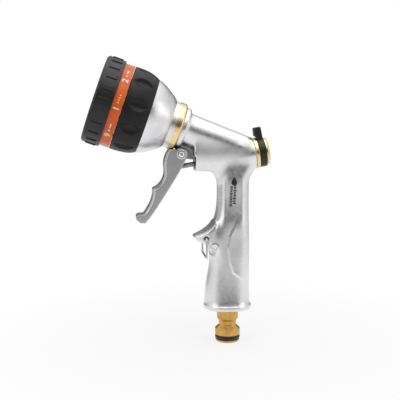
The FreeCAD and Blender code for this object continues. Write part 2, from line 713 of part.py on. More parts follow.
def flow_lever():
    """Black disc of the flow knob with its thumb tab."""
    start = REAR_GLAND_LENGTH + BODY_GAP
    end = REAR_GLAND_LENGTH + KNOB_LENGTH
    wheel = disc(KNOB_R, start, end)
    wheel = wheel.makeFillet(KNOB_ROUND, circles(wheel, KNOB_R))
    foot_x = KNOB_R - 3.5
    tip_x = KNOB_R + KNOB_TAB_RISE
    side = Part.makePolygon(
        [
            V(foot_x, 0, start + 0.3),
            V(REAR_GLAND_R + BODY_GAP, 0, start + 0.3),
            V(REAR_GLAND_R + BODY_GAP + KNOB_TAB_STEP, 0, start - KNOB_TAB_STEP),
            V(tip_x, 0, start - KNOB_TAB_LEAN),
            V(tip_x + 0.2, 0, end - KNOB_TAB_LEAN),
            V(KNOB_R, 0, end - 0.2),
            V(foot_x, 0, end - 0.2),
            V(foot_x, 0, start + 0.3),
        ]
    )
    tab = Part.Face(side).extrude(V(0, KNOB_TAB_WIDTH, 0))
    tab.translate(V(0, -KNOB_TAB_WIDTH / 2, 0))
    tab = tab.makeFillet(KNOB_TAB_ROUND, tab.Edges)
    return wheel.fuse(tab).cut(knob_section(start - 1, end + 1))


def flow_cap():
    """Brass cap on the end of the spindle."""
    start = REAR_GLAND_LENGTH + KNOB_LENGTH
    cap = disc(FLOW_CAP_R, start, CAP_REAR)
    cap = cap.makeFillet(FLOW_CAP_ROUND, circles(cap, FLOW_CAP_R, CAP_REAR))
    return cap.cut(knob_section(start - 1, CAP_REAR - FLOW_CAP_SKIN))


# ---------------------------------------------------------------- trigger
def trigger_point(forward, drop):
    """Point of the trigger's outline, measured forward and down from the pivot."""
    return (PIVOT.x - forward * TRIGGER_SCALE, PIVOT.z - drop * TRIGGER_SCALE)


TOE_NOTCH = (24.9, 39.6)    # inner corner of the toe, forward of and below the pivot


def trigger_outline():
    """Side outline: boss, shoulder, two finger hollows, toe and the nearly straight back."""
    shoulder = (5.2, -4.6)
    notch = TOE_NOTCH
    front = curve(
        [
            trigger_point(*shoulder),
            trigger_point(8.3, -2.6),
            trigger_point(10.4, 1.4),
            trigger_point(11.4, 7.0),
            trigger_point(11.1, 12.5),
            trigger_point(13.6, 18.8),
            trigger_point(18.9, 22.6),
        ]
    )
    lower = curve(
        [
            trigger_point(18.9, 22.6),
            trigger_point(19.0, 27.6),
            trigger_point(20.6, 32.4),
            trigger_point(*notch),
        ]
    )
    toe = lines(
        [
            trigger_point(*notch),
            trigger_point(28.6, 39.9),
            trigger_point(29.9, 41.0),
            trigger_point(29.8, 43.0),
            trigger_point(27.4, 45.2),
            trigger_point(23.8, 45.4),
        ]
    )
    back = curve(
        [
            trigger_point(23.8, 45.4),
            trigger_point(18.9, 39.2),
            trigger_point(12.3, 29.3),
            trigger_point(5.2, 18.2),
            trigger_point(-0.4, 8.6),
            (PIVOT.x + TRIGGER_BOSS_R * 0.8, PIVOT.z - TRIGGER_BOSS_R * 0.6),
        ]
    )
    boss = Part.Arc(
        V(PIVOT.x + TRIGGER_BOSS_R * 0.8, 0, PIVOT.z - TRIGGER_BOSS_R * 0.6),
        V(PIVOT.x + TRIGGER_BOSS_R * 0.8, 0, PIVOT.z + TRIGGER_BOSS_R * 0.6),
        V(PIVOT.x, 0, PIVOT.z + TRIGGER_BOSS_R),
    ).toShape()
    top = lines([(PIVOT.x, PIVOT.z + TRIGGER_BOSS_R), trigger_point(*shoulder)])
    return [front, lower] + toe + [back, boss] + top


def trigger_channel():
    """Hollow between the trigger's cheeks, open to the rear and round the lug."""
    wall = TRIGGER_WALL
    inner = curve(
        [
            (PIVOT.x - LUG_R - BODY_GAP, PIVOT.z + 9),
            (PIVOT.x - LUG_R - BODY_GAP - 0.3, PIVOT.z + 2),
            trigger_point(10.4 - wall - 0.4, 1.8),
            trigger_point(11.4 - wall, 7.2),
            trigger_point(11.1 - wall + 0.3, 13.5),
            trigger_point(13.6 - wall + 0.6, 20.6),
            trigger_point(18.9 - wall - 0.2, 26.0),
            trigger_point(20.6 - wall - 0.3, 33.4),
            trigger_point(21.2, 37.6),
        ]
    )
    open_back = lines(
        [
            trigger_point(21.2, 37.6),
            trigger_point(-20, 37.6),
            (PIVOT.x + 20 * TRIGGER_SCALE, PIVOT.z + 9),
            (PIVOT.x - LUG_R - BODY_GAP, PIVOT.z + 9),
        ]
    )
    return slab([inner] + open_back, CHEEK_INNER)


def on_trigger_front(edge):
    """True for the long outer edges in front of the fingers."""
    middle = edge.CenterOfMass
    if abs(abs(middle.y) - TRIGGER_HALF) > 0.01 or not isinstance(edge.Curve, Part.BSplineCurve):
        return False
    low, high = sorted((edge.Vertexes[0].Z, edge.Vertexes[-1].Z))
    first = PIVOT.z - TRIGGER_SCALE * TOE_NOTCH[1]
    in_front = middle.x < PIVOT.x - TRIGGER_SCALE * 8
    return in_front and low > first - 0.01 and high < PIVOT.z + 2 * TRIGGER_BOSS_R


def trigger():
    """Channel-shaped cast trigger with the cam that pushes the stem."""
    solid = slab(trigger_outline(), TRIGGER_HALF)
    front_edges = [e for e in solid.Edges if on_trigger_front(e)]
    solid = solid.makeChamfer(TRIGGER_BEVEL, front_edges)
    solid = solid.cut(trigger_channel())
    cam = cam_centre(0)
    web = Part.makeBox(10.5, 2 * CHEEK_INNER, 1.6 * CAM_R, V(cam.x - 10.5, -CHEEK_INNER, cam.z - 0.8 * CAM_R))
    inside = slab(trigger_outline(), CHEEK_INNER)
    rib = across(CAM_R, CHEEK_INNER, cam).fuse(web.common(inside))
    under_ring = disc(BRASS_RING_R + 2 * BODY_GAP, COLLAR_FRONT - 2, BRASS_FRONT + 4)
    under_collar = disc(COLLAR_R + 2 * BODY_GAP, 0, COLLAR_FRONT)
    relief = [placed(under_ring, HEAD), placed(under_collar, HEAD)]
    return solid.fuse(rib).cut(relief + [across(PIN_R + RUN_GAP, 30, PIVOT)]).removeSplitter()


def trigger_pin():
    """Headed pivot pin, held in the lug."""
    reach = TRIGGER_HALF + RUN_GAP
    shank = across(PIN_R, reach + 0.5, PIVOT)
    heads = across(PIN_HEAD_R, reach + PIN_HEAD_LENGTH, PIVOT).cut(across(PIN_HEAD_R + 1, reach, PIVOT))
    face = reach + PIN_HEAD_LENGTH
    domed = []
    for head in heads.Solids:
        rims = [e for e in head.Edges if abs(abs(e.CenterOfMass.y) - face) < 0.01]
        domed.append(head.makeFillet(PIN_HEAD_ROUND, rims))
    punches = []
    for side in (-1, 1):
        mouth = V(PIVOT.x, side * face, PIVOT.z)
        inward = V(0, -side, 0)
        punches.append(Part.makeCone(PIN_DIMPLE_R, PIN_DIMPLE_R * 0.6, PIN_DIMPLE_DEPTH, mouth, inward))
    return shank.fuse(domed).cut(punches)


# ---------------------------------------------------------------- bail
def latch_point():
    """Where the bail's crossbar lies in the toe's notch when the trigger is fully squeezed."""
    gap = BAIL_WIRE_R + BODY_GAP
    forward, drop = TOE_NOTCH
    x, z = trigger_point(forward + gap, drop - gap)
    turn = math.radians(TRIGGER_STROKE)
    dx, dz = x - PIVOT.x, z - PIVOT.z
    return V(
        PIVOT.x + dx * math.cos(turn) - dz * math.sin(turn),
        0,
        PIVOT.z + dx * math.sin(turn) + dz * math.cos(turn),
    )


BAIL_LENGTH = (latch_point() - BAIL_AXLE).Length


def bail_angle():
    """Degrees the bail turns from hanging down to lying in the toe's notch."""
    reach = latch_point() - BAIL_AXLE
    return math.degrees(math.atan2(-reach.x, -reach.z)) % 360


def lock_bail():
    """Bent wire loop: two short axle ends, two legs and a crossbar."""
    bend = BAIL_BEND_R
    knee = bend * (1 - math.sqrt(0.5))
    low = BAIL_AXLE.z - BAIL_LENGTH
    x = BAIL_AXLE.x
    edges = []
    for side in (-1, 1):
        end = V(x, side * (CHIN_HALF - 3.5), BAIL_AXLE.z)
        bend_in = V(x, side * (BAIL_HALF - bend), BAIL_AXLE.z)
        bend_mid = V(x, side * (BAIL_HALF - knee), BAIL_AXLE.z - knee)
        bend_out = V(x, side * BAIL_HALF, BAIL_AXLE.z - bend)
        low_in = V(x, side * BAIL_HALF, low + bend)
        low_mid = V(x, side * (BAIL_HALF - knee), low + knee)
        low_out = V(x, side * (BAIL_HALF - bend), low)
        edges += [
            Part.makeLine(end, bend_in),
            Part.Arc(bend_in, bend_mid, bend_out).toShape(),
            Part.makeLine(bend_out, low_in),
            Part.Arc(low_in, low_mid, low_out).toShape(),
        ]
    edges.append(Part.makeLine(V(x, -BAIL_HALF + bend, low), V(x, BAIL_HALF - bend, low)))
    path = Part.Wire(Part.__sortEdges__(edges))
    start = path.OrderedVertexes[0].Point
    section = Part.Wire(Part.makeCircle(BAIL_WIRE_R, start, V(0, 1, 0)))
    return path.makePipeShell([section], True, True)


# ---------------------------------------------------------------- spray head, fixed pieces
def brass_collar():
    """Brass ring round the neck, with its rounded rear edge."""
    band = ring(BRASS_RING_R, NECK_SEAT_R + THREAD_GAP, COLLAR_FRONT, BRASS_FRONT)
    band = band.makeFillet(BRASS_RING_ROUND, circles(band, BRASS_RING_R, COLLAR_FRONT))
    return band


def bell_outside():
    """Outer line of the bell from the neck to the sleeve, as (radius, station) points."""
    rise = BELL_R - NECK_R
    shares = [(0.0, 0.0), (0.13, 0.23), (0.335, 0.47), (0.66, 0.79), (1.0, 1.0)]
    return [(NECK_R + rise * r, NECK_FRONT + BELL_LENGTH * s) for s, r in shares]


def head_bell():
    """Cast bell: spigot, neck, flared shell and the seat of the rubber sleeve."""
    outside = bell_outside()
    inner = SLEEVE_SEAT_R - BELL_WALL
    back = COLLAR_FRONT - SPIGOT_LENGTH
    throat = BARREL_BORE_R - 0.5
    start = lines(
        [
            (inner, SLEEVE_FRONT),
            (inner, BELL_FRONT),
            (outside[3][0] - BELL_WALL - 0.6, outside[3][1]),
            (outside[2][0] - BELL_WALL - 0.8, outside[2][1]),
            (throat, NECK_FRONT - 2),
            (throat, back),
            (SPIGOT_R, back),
            (SPIGOT_R, COLLAR_FRONT),
            (NECK_SEAT_R, COLLAR_FRONT),
            (NECK_SEAT_R, BRASS_FRONT),
            (NECK_R, BRASS_FRONT),
            outside[0],
        ]
    )
    seat = [(SLEEVE_SEAT_R, BELL_FRONT), (SLEEVE_SEAT_R, SLEEVE_FRONT)]
    end = lines([outside[-1]] + seat + [(inner, SLEEVE_FRONT)])
    wire = Part.Wire(Part.__sortEdges__(start + [curve(outside)] + end))
    bell = Part.Face(wire).revolve(V(), V(0, 0, 1), 360)
    groove_r = SPIGOT_R - THREAD_GAP - 2 * SPIGOT_SEAL_MINOR
    station = back + SPIGOT_SEAL_INSET
    groove = ring(
        SPIGOT_R + 1,
        groove_r,
        station - SPIGOT_SEAL_MINOR - THREAD_GAP,
        station + SPIGOT_SEAL_MINOR + THREAD_GAP,
    )
    return bell.cut(groove)


def spigot_seal():
    """Ring that seals the bell's spigot in the barrel."""
    inner = SPIGOT_R - 2 * SPIGOT_SEAL_MINOR
    return o_ring(inner, SPIGOT_SEAL_MINOR, COLLAR_FRONT - SPIGOT_LENGTH + SPIGOT_SEAL_INSET)


def leaf(length, width, depth, radius, station):
    """Leaf-shaped cutter, its long way along local Z, reaching in from a radius."""
    half = length / 2
    outline = [
        Part.Arc(V(radius, 0, station - half), V(radius, width / 2, station), V(radius, 0, station + half)),
        Part.Arc(V(radius, 0, station + half), V(radius, -width / 2, station), V(radius, 0, station - half)),
    ]
    face = Part.Face(Part.Wire([arc.toShape() for arc in outline]))
    face.translate(V(-depth, 0, 0))
    return face.extrude(V(depth + 5, 0, 0))


def grip_sleeve():
    """Rubber sleeve with a ring of leaf-shaped dimples."""
    length = SLEEVE_LENGTH
    outer = curve(
        [
            (BELL_R, BELL_FRONT),
            (mix(BELL_R, SLEEVE_R, 0.78), BELL_FRONT + 0.36 * length),
            (SLEEVE_R, BELL_FRONT + 0.68 * length),
            (SLEEVE_R, SLEEVE_FRONT),
        ]
    )
    rest = lines(
        [
            (SLEEVE_R, SLEEVE_FRONT),
            (SLEEVE_SEAT_R, SLEEVE_FRONT),
            (SLEEVE_SEAT_R, BELL_FRONT),
            (BELL_R, BELL_FRONT),
        ]
    )
    sleeve = Part.Face(Part.Wire(Part.__sortEdges__([outer] + rest))).revolve(V(), V(0, 0, 1), 360)
    cutter = leaf(DIMPLE_LENGTH, DIMPLE_WIDTH, DIMPLE_DEPTH, SLEEVE_R, BELL_FRONT + 0.52 * length)
    return sleeve.cut(around(cutter, DIMPLE_COUNT, 360.0 / DIMPLE_COUNT / 2))


def distributor():
    """Fixed plate across the bell with one outlet, facing the turning port plate."""
    back = SLEEVE_FRONT - DISTRIBUTOR_THICKNESS
    outer = SLEEVE_SEAT_R - BELL_WALL - THREAD_GAP
    plate = disc(outer, back, SLEEVE_FRONT)
    plate = plate.fuse(disc(HUB_R, back - 5, back + 1))
    outlet = Part.makeCylinder(PORT_R, DISTRIBUTOR_THICKNESS + 2, V(PORT_PITCH_R, 0, back - 1))
    seal_floor = V(PORT_PITCH_R, 0, SLEEVE_FRONT - PORT_SEAL_POCKET)
    pocket = Part.makeCylinder(PORT_SEAL_R, PORT_SEAL_POCKET, seal_floor)
    pocket_floor = SLEEVE_FRONT - DETENT_POCKET
    detent = Part.makeCylinder(DETENT_R + THREAD_GAP, DETENT_POCKET, V(-DETENT_PITCH_R, 0, pocket_floor))
    thread = disc(SCREW_R, back - 6, SLEEVE_FRONT + 1)
    return plate.cut([outlet, pocket, detent, thread])


def port_seal():
    """Rubber ring round the distributor's outlet."""
    low = SLEEVE_FRONT - PORT_SEAL_POCKET
    high = ROTOR_BACK - RUN_GAP
    seal = Part.makeCylinder(PORT_SEAL_R - THREAD_GAP, high - low, V(PORT_PITCH_R, 0, low))
    return seal.cut(Part.makeCylinder(PORT_R, high - low + 2, V(PORT_PITCH_R, 0, low - 1)))


def detent_ball():
    """Click ball in the distributor, bearing on a shallow track in the port plate."""
    return Part.makeSphere(DETENT_R, V(-DETENT_PITCH_R, 0, ROTOR_BACK - DETENT_R + DETENT_TRACK_DEPTH))


def detent_spring():
    """Short coil behind the click ball."""
    low = SLEEVE_FRONT - DETENT_POCKET + DETENT_WIRE_R
    ball_back = ROTOR_BACK + DETENT_TRACK_DEPTH - 2 * DETENT_R
    radius = DETENT_R - DETENT_WIRE_R - THREAD_GAP * 3
    sag = DETENT_R - math.sqrt(DETENT_R**2 - radius**2)
    rise = ball_back + sag * 0.6 - DETENT_WIRE_R - low
    helix = Part.makeHelix(rise / DETENT_TURNS, rise, radius)
    section = Part.Wire(Part.makeCircle(DETENT_WIRE_R, V(radius, 0, 0), V(0, 1, 0)))
    coil = Part.Wire(helix.Edges).makePipeShell([section], True, True)
    coil.translate(V(-DETENT_PITCH_R, 0, low))
    return coil


def centre_screw():
    """Screw that holds the turning head on the distributor."""
    seat = FACE_FRONT - SCREW_HEAD_LENGTH - 0.3
    back = SLEEVE_FRONT - DISTRIBUTOR_THICKNESS - 4
    head = disc(SCREW_HEAD_R, seat, seat + SCREW_HEAD_LENGTH)
    head = head.makeFillet(0.7, circles(head, SCREW_HEAD_R, seat + SCREW_HEAD_LENGTH))
    slot_a = Part.makeBox(4.4, 0.9, 1.4, V(-2.2, -0.45, seat + SCREW_HEAD_LENGTH - 1.2))
    slot_b = Part.makeBox(0.9, 4.4, 1.4, V(-0.45, -2.2, seat + SCREW_HEAD_LENGTH - 1.2))
    return disc(SCREW_R, back, seat + 0.5).fuse(head).cut([slot_a, slot_b])


# ---------------------------------------------------------------- spray head, turning pieces
def front_bezel():
    """Black turning ring: a drum under the pattern band and the ribbed front."""
    drum = ring(BAND_R - BAND_WALL, BEZEL_BORE_R, ROTOR_BACK, BAND_FRONT + 0.5)
    front = disc(BEZEL_R, BAND_FRONT, BEZEL_FRONT)
    front = front.makeChamfer(BEZEL_CHAMFER, circles(front, BEZEL_R, BEZEL_FRONT))
    front = front.makeFillet(0.4, circles(front, BEZEL_R, BAND_FRONT))
    front = front.cut(disc(BEZEL_BORE_R, BAND_FRONT - 1, BEZEL_FRONT + 1))
    block = Part.makeBox(
        BLOCK_RISE + 1.5,
        BLOCK_WIDTH,
        BLOCK_LENGTH,
        V(BEZEL_R - 1.5, -BLOCK_WIDTH / 2, BAND_FRONT + (BEZEL_LENGTH - BEZEL_CHAMFER - BLOCK_LENGTH) / 2),
    )
    outer = [e for e in block.Edges if abs(e.CenterOfMass.x - BEZEL_R - BLOCK_RISE) < 0.01]
    block = block.makeFillet(BLOCK_ROUND, outer)
    return drum.fuse(front).fuse(around(block, BLOCK_COUNT, 360.0 / BLOCK_COUNT / 2))


def pattern_band():
    """Coloured band that shows which pattern is set."""
    return ring(BAND_R, BAND_R - BAND_WALL, ROTOR_BACK, BAND_FRONT)


def port_plate():
    """Turning plate with one port per pattern, dividing walls and a hub."""
    rim = BEZEL_BORE_R - THREAD_GAP
    plate = disc(rim, ROTOR_BACK, PLATE_FRONT)
    hub = disc(HUB_R, ROTOR_BACK, FACE_BACK)
    height = FACE_BACK - PLATE_FRONT + 0.5
    wall = Part.makeBox(rim - 1.0 - HUB_R, 1.2, height, V(HUB_R - 0.5, -0.6, PLATE_FRONT - 0.5))
    port = Part.makeCylinder(PORT_R, PORT_PLATE_THICKNESS + 2, V(PORT_PITCH_R, 0, ROTOR_BACK - 1))
    half_step = 180.0 / PORT_COUNT
    solid = plate.fuse([hub] + around(wall, PORT_COUNT, half_step))
    track_middle = V(0, 0, ROTOR_BACK - DETENT_R + DETENT_TRACK_DEPTH)
    track = Part.makeTorus(DETENT_PITCH_R, DETENT_R + BODY_GAP, track_middle)
    bore = disc(SCREW_R + RUN_GAP, ROTOR_BACK - 1, FACE_BACK + 1)
    return solid.cut(around(port, PORT_COUNT) + [track, bore])


def hole(radius, pitch, angle):
    """Round spray hole through the face."""
    drill = Part.makeCylinder(radius, FACE_THICKNESS + 2, V(pitch, 0, FACE_BACK - 1))
    drill.rotate(V(), V(0, 0, 1), angle)
    return drill


def slot(length, width, pitch, angle, turn=0.0):
    """Straight spray slot through the face, its long way across the radius."""
    cutter = Part.makeBox(width, length, FACE_THICKNESS + 2, V(-width / 2, -length / 2, FACE_BACK - 1))
    cutter.rotate(V(), V(0, 0, 1), turn)
    cutter.translate(V(pitch, 0, 0))
    cutter.rotate(V(), V(0, 0, 1), angle)
    return cutter


def spray_holes():
    """One pattern of holes for each of the nine sectors of the face."""
    step = 360.0 / PORT_COUNT
    cutters = []
    for row, pitch in enumerate((9.5, 13.0, 16.5, 20.0)):
        for index in range(-row, row + 1):
            cutters.append(hole(0.55, pitch, index * 27.0 / (2 * row + 1)))
    cutters.append(hole(2.2, 14.5, step))
    for pitch in (10.0, 14.0, 18.0):
        cutters.append(hole(0.9, pitch, 2 * step))
    cutters.append(slot(9.0, 1.3, 16.0, 3 * step))
    for angle in (-12.0, 0.0, 12.0):
        cutters.append(hole(0.7, 19.0, 4 * step + angle))
        cutters.append(hole(0.7, 12.5, 4 * step + angle * 0.7))
    cutters.append(slot(9.0, 1.3, 15.0, 5 * step, 90.0))
    for angle in (-11.0, 0.0, 11.0):
        cutters.append(hole(1.5, 16.5, 6 * step + angle))
    for pitch, spread in ((11.0, 9.0), (15.0, 11.0), (19.0, 12.0)):
        for share in (-1, 0, 1):
            cutters.append(hole(0.4, pitch, 7 * step + spread * share))
    for pitch in (12.0, 18.0):
        cutters.append(slot(5.0, 1.1, pitch, 8 * step))
    return cutters


def spray_face():
    """Front plate of the head with its spray patterns and the screw's recess."""
    plate = disc(BEZEL_BORE_R - THREAD_GAP, FACE_BACK, FACE_FRONT)
    recess = disc(SCREW_HEAD_R + BODY_GAP, FACE_FRONT - SCREW_HEAD_LENGTH - 0.3 - RUN_GAP, FACE_FRONT + 1)
    bore = disc(SCREW_R + RUN_GAP, FACE_BACK - 1, FACE_FRONT + 1)
    return plate.cut([recess, bore] + spray_holes())


# ---------------------------------------------------------------- build
PLACED_ON_HEAD = {
    "brass_collar": brass_collar,
    "head_bell": head_bell,
    "spigot_seal": spigot_seal,
    "grip_sleeve": grip_sleeve,
    "distributor": distributor,
    "port_seal": port_seal,
    "detent_ball": detent_ball,
    "detent_spring": detent_spring,
    "centre_screw": centre_screw,
    "front_bezel": front_bezel,
    "pattern_band": pattern_band,
    "port_plate": port_plate,
    "spray_face": spray_face,
}
PLACED_ON_VALVE = {
    "valve_seat": valve_seat,
    "valve_stem": valve_stem,
    "poppet": poppet,
    "poppet_seal": poppet_seal,
    "valve_spring": valve_spring,
    "stem_seal": stem_seal,
    "stem_gland": stem_gland,
    "rear_gland": rear_gland,
    "spindle_seal": spindle_seal,
    "flow_spindle": flow_spindle,
    "flow_lever": flow_lever,
    "flow_cap": flow_cap,
}
IN_PLACE = {
    "body_casting": body_casting,
    "inlet_nipple": inlet_nipple,
    "nipple_o_ring": nipple_o_ring,
    "inlet_washer": inlet_washer,
    "inlet_filter": inlet_filter,
    "trigger": trigger,
    "trigger_pin": trigger_pin,
    "lock_bail": lock_bail,
}


def main():
    os.makedirs("parts", exist_ok=True)
    for makers, frame in ((PLACED_ON_HEAD, HEAD), (PLACED_ON_VALVE, VALVE), (IN_PLACE, FreeCAD.Placement())):
        for name, make in makers.items():
            placed(make(), frame).exportStep("parts/" + name + ".step")
    print("bail length", round(BAIL_LENGTH, 3), "bail angle", round(bail_angle(), 2))
    travel = (cam_centre(TRIGGER_STROKE) - cam_centre(0)).Length
    print("stem travel", round(travel, 3), "per radian", round(travel / math.radians(TRIGGER_STROKE), 4))


main()
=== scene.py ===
"""Looks of the hose spray nozzle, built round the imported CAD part."""
import json
import math

import bpy
import numpy as np
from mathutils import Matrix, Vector
from mathutils.bvhtree import BVHTree


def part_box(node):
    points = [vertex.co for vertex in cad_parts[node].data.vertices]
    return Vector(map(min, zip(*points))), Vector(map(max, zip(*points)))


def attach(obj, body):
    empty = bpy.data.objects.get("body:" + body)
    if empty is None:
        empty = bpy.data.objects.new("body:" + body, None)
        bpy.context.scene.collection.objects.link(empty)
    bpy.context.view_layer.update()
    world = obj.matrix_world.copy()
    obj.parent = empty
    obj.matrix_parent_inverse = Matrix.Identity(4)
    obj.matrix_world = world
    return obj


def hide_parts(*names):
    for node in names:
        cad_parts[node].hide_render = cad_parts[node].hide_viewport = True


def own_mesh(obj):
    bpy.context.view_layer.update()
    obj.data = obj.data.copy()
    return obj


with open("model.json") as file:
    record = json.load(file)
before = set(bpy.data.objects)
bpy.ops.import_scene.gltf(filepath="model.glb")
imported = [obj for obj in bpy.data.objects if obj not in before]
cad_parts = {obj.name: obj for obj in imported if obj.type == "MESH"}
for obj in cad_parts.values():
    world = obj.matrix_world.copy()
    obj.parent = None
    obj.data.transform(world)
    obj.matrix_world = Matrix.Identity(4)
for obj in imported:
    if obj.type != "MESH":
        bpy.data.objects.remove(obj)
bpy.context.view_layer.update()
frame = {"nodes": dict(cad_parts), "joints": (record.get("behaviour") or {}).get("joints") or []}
NODES = frame["nodes"]
JOINTS = {joint["name"]: joint for joint in frame["joints"]}
MM = 0.001


# ---------------------------------------------------------------- axes and meshes
class Axis:
    """A turning axis: up is square to it in the XZ plane, and side completes the frame."""

    def __init__(self, joint):
        along = np.array(joint["axis"], float)
        self.along = along / np.linalg.norm(along)
        self.origin = np.array(joint["pos_m"], float)
        x, _, z = self.along
        self.up = np.array([-z * np.sign(x), 0.0, abs(x)])
        self.side = np.cross(self.along, self.up)

    def local(self, points):
        """(up, side, station) of each point."""
        return (points - self.origin) @ np.array([self.up, self.side, self.along]).T

    def world(self, local):
        """Points of the row frame from (up, side, station)."""
        return self.origin + local @ np.array([self.up, self.side, self.along])

    def ring(self, radius, angle, station):
        """Points at a radius and an angle from up towards side."""
        return self.world(np.stack([radius * np.cos(angle), radius * np.sin(angle), station], -1))


HEAD = Axis(JOINTS["head_turn"])
VALVE = Axis(JOINTS["flow_knob_turn"])
PIVOT = np.array(JOINTS["trigger_squeeze"]["pos_m"], float)
BAIL = np.array(JOINTS["bail_swing"]["pos_m"], float)


def points_of(mesh):
    """Vertices of a mesh as an array."""
    flat = np.empty(len(mesh.vertices) * 3)
    mesh.vertices.foreach_get("co", flat)
    return flat.reshape(-1, 3)


def normals_of(mesh):
    """Vertex normals of a mesh as an array."""
    flat = np.empty(len(mesh.vertices) * 3)
    mesh.vertex_normals.foreach_get("vector", flat)
    return flat.reshape(-1, 3)


def spread(node, axis):
    """Lowest station, highest station and largest radius of a CAD node about an axis."""
    up, side, station = axis.local(points_of(NODES[node].data)).T
    return station.min(), station.max(), np.hypot(up, side).max()


def piece(name, mesh, look, body, stands_for=()):
    """Links a mesh as a piece that rides on a body."""
    mesh.materials.clear()
    mesh.materials.append(LOOKS[look].material)
    mesh.polygons.foreach_set("use_smooth", [True] * len(mesh.polygons))
    obj = bpy.data.objects.new(name, mesh)
    bpy.context.scene.collection.objects.link(obj)
    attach(obj, body)
    if stands_for:
        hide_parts(*stands_for)
    return obj


def mesh_from(name, points, faces):
    """Mesh from arrays of points and faces."""
    mesh = bpy.data.meshes.new(name)
    mesh.from_pydata([tuple(p) for p in points], [], [tuple(f) for f in faces])
    mesh.validate()
    mesh.update()
    return mesh


def smooth_step(value, low, high):
    """0 below low, 1 above high and an S-curve between them."""
    share = np.clip((value - low) / (high - low), 0, 1)
    return share * share * (3 - 2 * share)


# ---------------------------------------------------------------- softened castings
def remeshed(node, voxel):
    """Even quad mesh of a CAD node, with its corners broken by one voxel."""
    source = bpy.data.objects.new(node + "_source", NODES[node].data.copy())
    bpy.context.scene.collection.objects.link(source)
    remesh = source.modifiers.new("remesh", "REMESH")
    remesh.mode = "VOXEL"
    remesh.voxel_size = voxel
    graph = bpy.context.evaluated_depsgraph_get()
    mesh = bpy.data.meshes.new_from_object(source.evaluated_get(graph))
    bpy.data.objects.remove(source)
    return mesh


def relax(mesh, weight, rounds, convex=1.0):
    """Moves each vertex towards its neighbours' middle; convex slows the moves that wear edges down."""
    pairs = np.empty(len(mesh.edges) * 2, int)
    mesh.edges.foreach_get("vertices", pairs)
    a, b = pairs.reshape(-1, 2).T
    count = len(mesh.vertices)
    degree = np.bincount(a, minlength=count) + np.bincount(b, minlength=count)
    points, normals = points_of(mesh), normals_of(mesh)
    for _ in range(rounds):
        total = np.stack(
            [
                np.bincount(a, points[b, k], count) + np.bincount(b, points[a, k], count)
                for k in range(3)
            ],
            -1,
        )
        pull = total / degree[:, None] - points
        outward = (pull * normals).sum(1)
        rate = 0.5 * weight * np.where(outward > 0, 1.0, convex)
        points += pull * rate[:, None]
    mesh.vertices.foreach_set("co", points.ravel())
    mesh.update()


def crease_distance(x, z, line):
    """Signed distance in the XZ plane from a line of points, positive on its right when going down."""
    best = np.full(len(x), 1e9)
    sign = np.ones(len(x))
    for (x0, z0), (x1, z1) in zip(line, line[1:]):
        dx, dz = x1 - x0, z1 - z0
        share = np.clip(((x - x0) * dx + (z - z0) * dz) / (dx * dx + dz * dz), 0, 1)
        far = np.hypot(x - x0 - share * dx, z - z0 - share * dz)
        nearer = far < best
        best = np.where(nearer, far, best)
        turn = (z - z0) * dx - (x - x0) * dz
        sign = np.where(nearer, np.sign(turn), sign)
    return best * sign


# the swelling's edge down the side of the handle, as (X, Z) in millimetres
PALM_LINE = [
    (5.5, 86.0), (2.6, 79.8), (-0.5, 73.7), (-1.5, 66.0),
    (-0.4, 56.6), (1.7, 49.3), (7.5, 44.5), (12.1, 40.2),
]
PALM_RISE = 0.42                            # height of the swelling at its edge
PALM_FADE = 7.0                             # distance over which the swelling dies away
LABEL_PANEL = (-3.2, 7.4, 88.0, 113.0)      # front, rear, lower and upper edge on the handle's side
EJECTOR_MARK = (-10.3, 66.3, 2.3)           # centre and radius of the round mark below the hook
RELIEF = 0.3                                # depth of the panel and height of the mark's rim
RECESS = PIVOT - np.array([1.6, 0.0, 5.1]) * MM   # centre of the trigger's round recess
CAST_VOXEL = 0.45 * MM
CAST_ROUNDS = 180                           # rounds of softening
EDGE_WEAR = 0.12                            # how readily outer edges wear down, against inner corners filling
# the bores, whose walls stay as they are
CHAMBER_BORE = (9.0 * MM, 8.6 * MM)         # radius about the valve's axis, and half width
HEAD_BORE = (8.95 * MM, 18 * MM)            # radius about the head's axis, and where it starts
HANDLE_BORE = (7 * MM, 120 * MM)            # radius and top
# where the softening fades in from each machined face, as distances in millimetres
COLLAR_LAND = (-4.6, -3.9)
REAR_LAND = (-1.2, -0.6)
FOOT_LAND = (3.0, 4.2)
RECESS_LAND = (11.2, 13.0)
EAR_LAND = (1.9, 3.4)


def away(distance, land):
    """0 on a machined face and 1 where its land ends."""
    return smooth_step(distance, land[0] * MM, land[1] * MM)


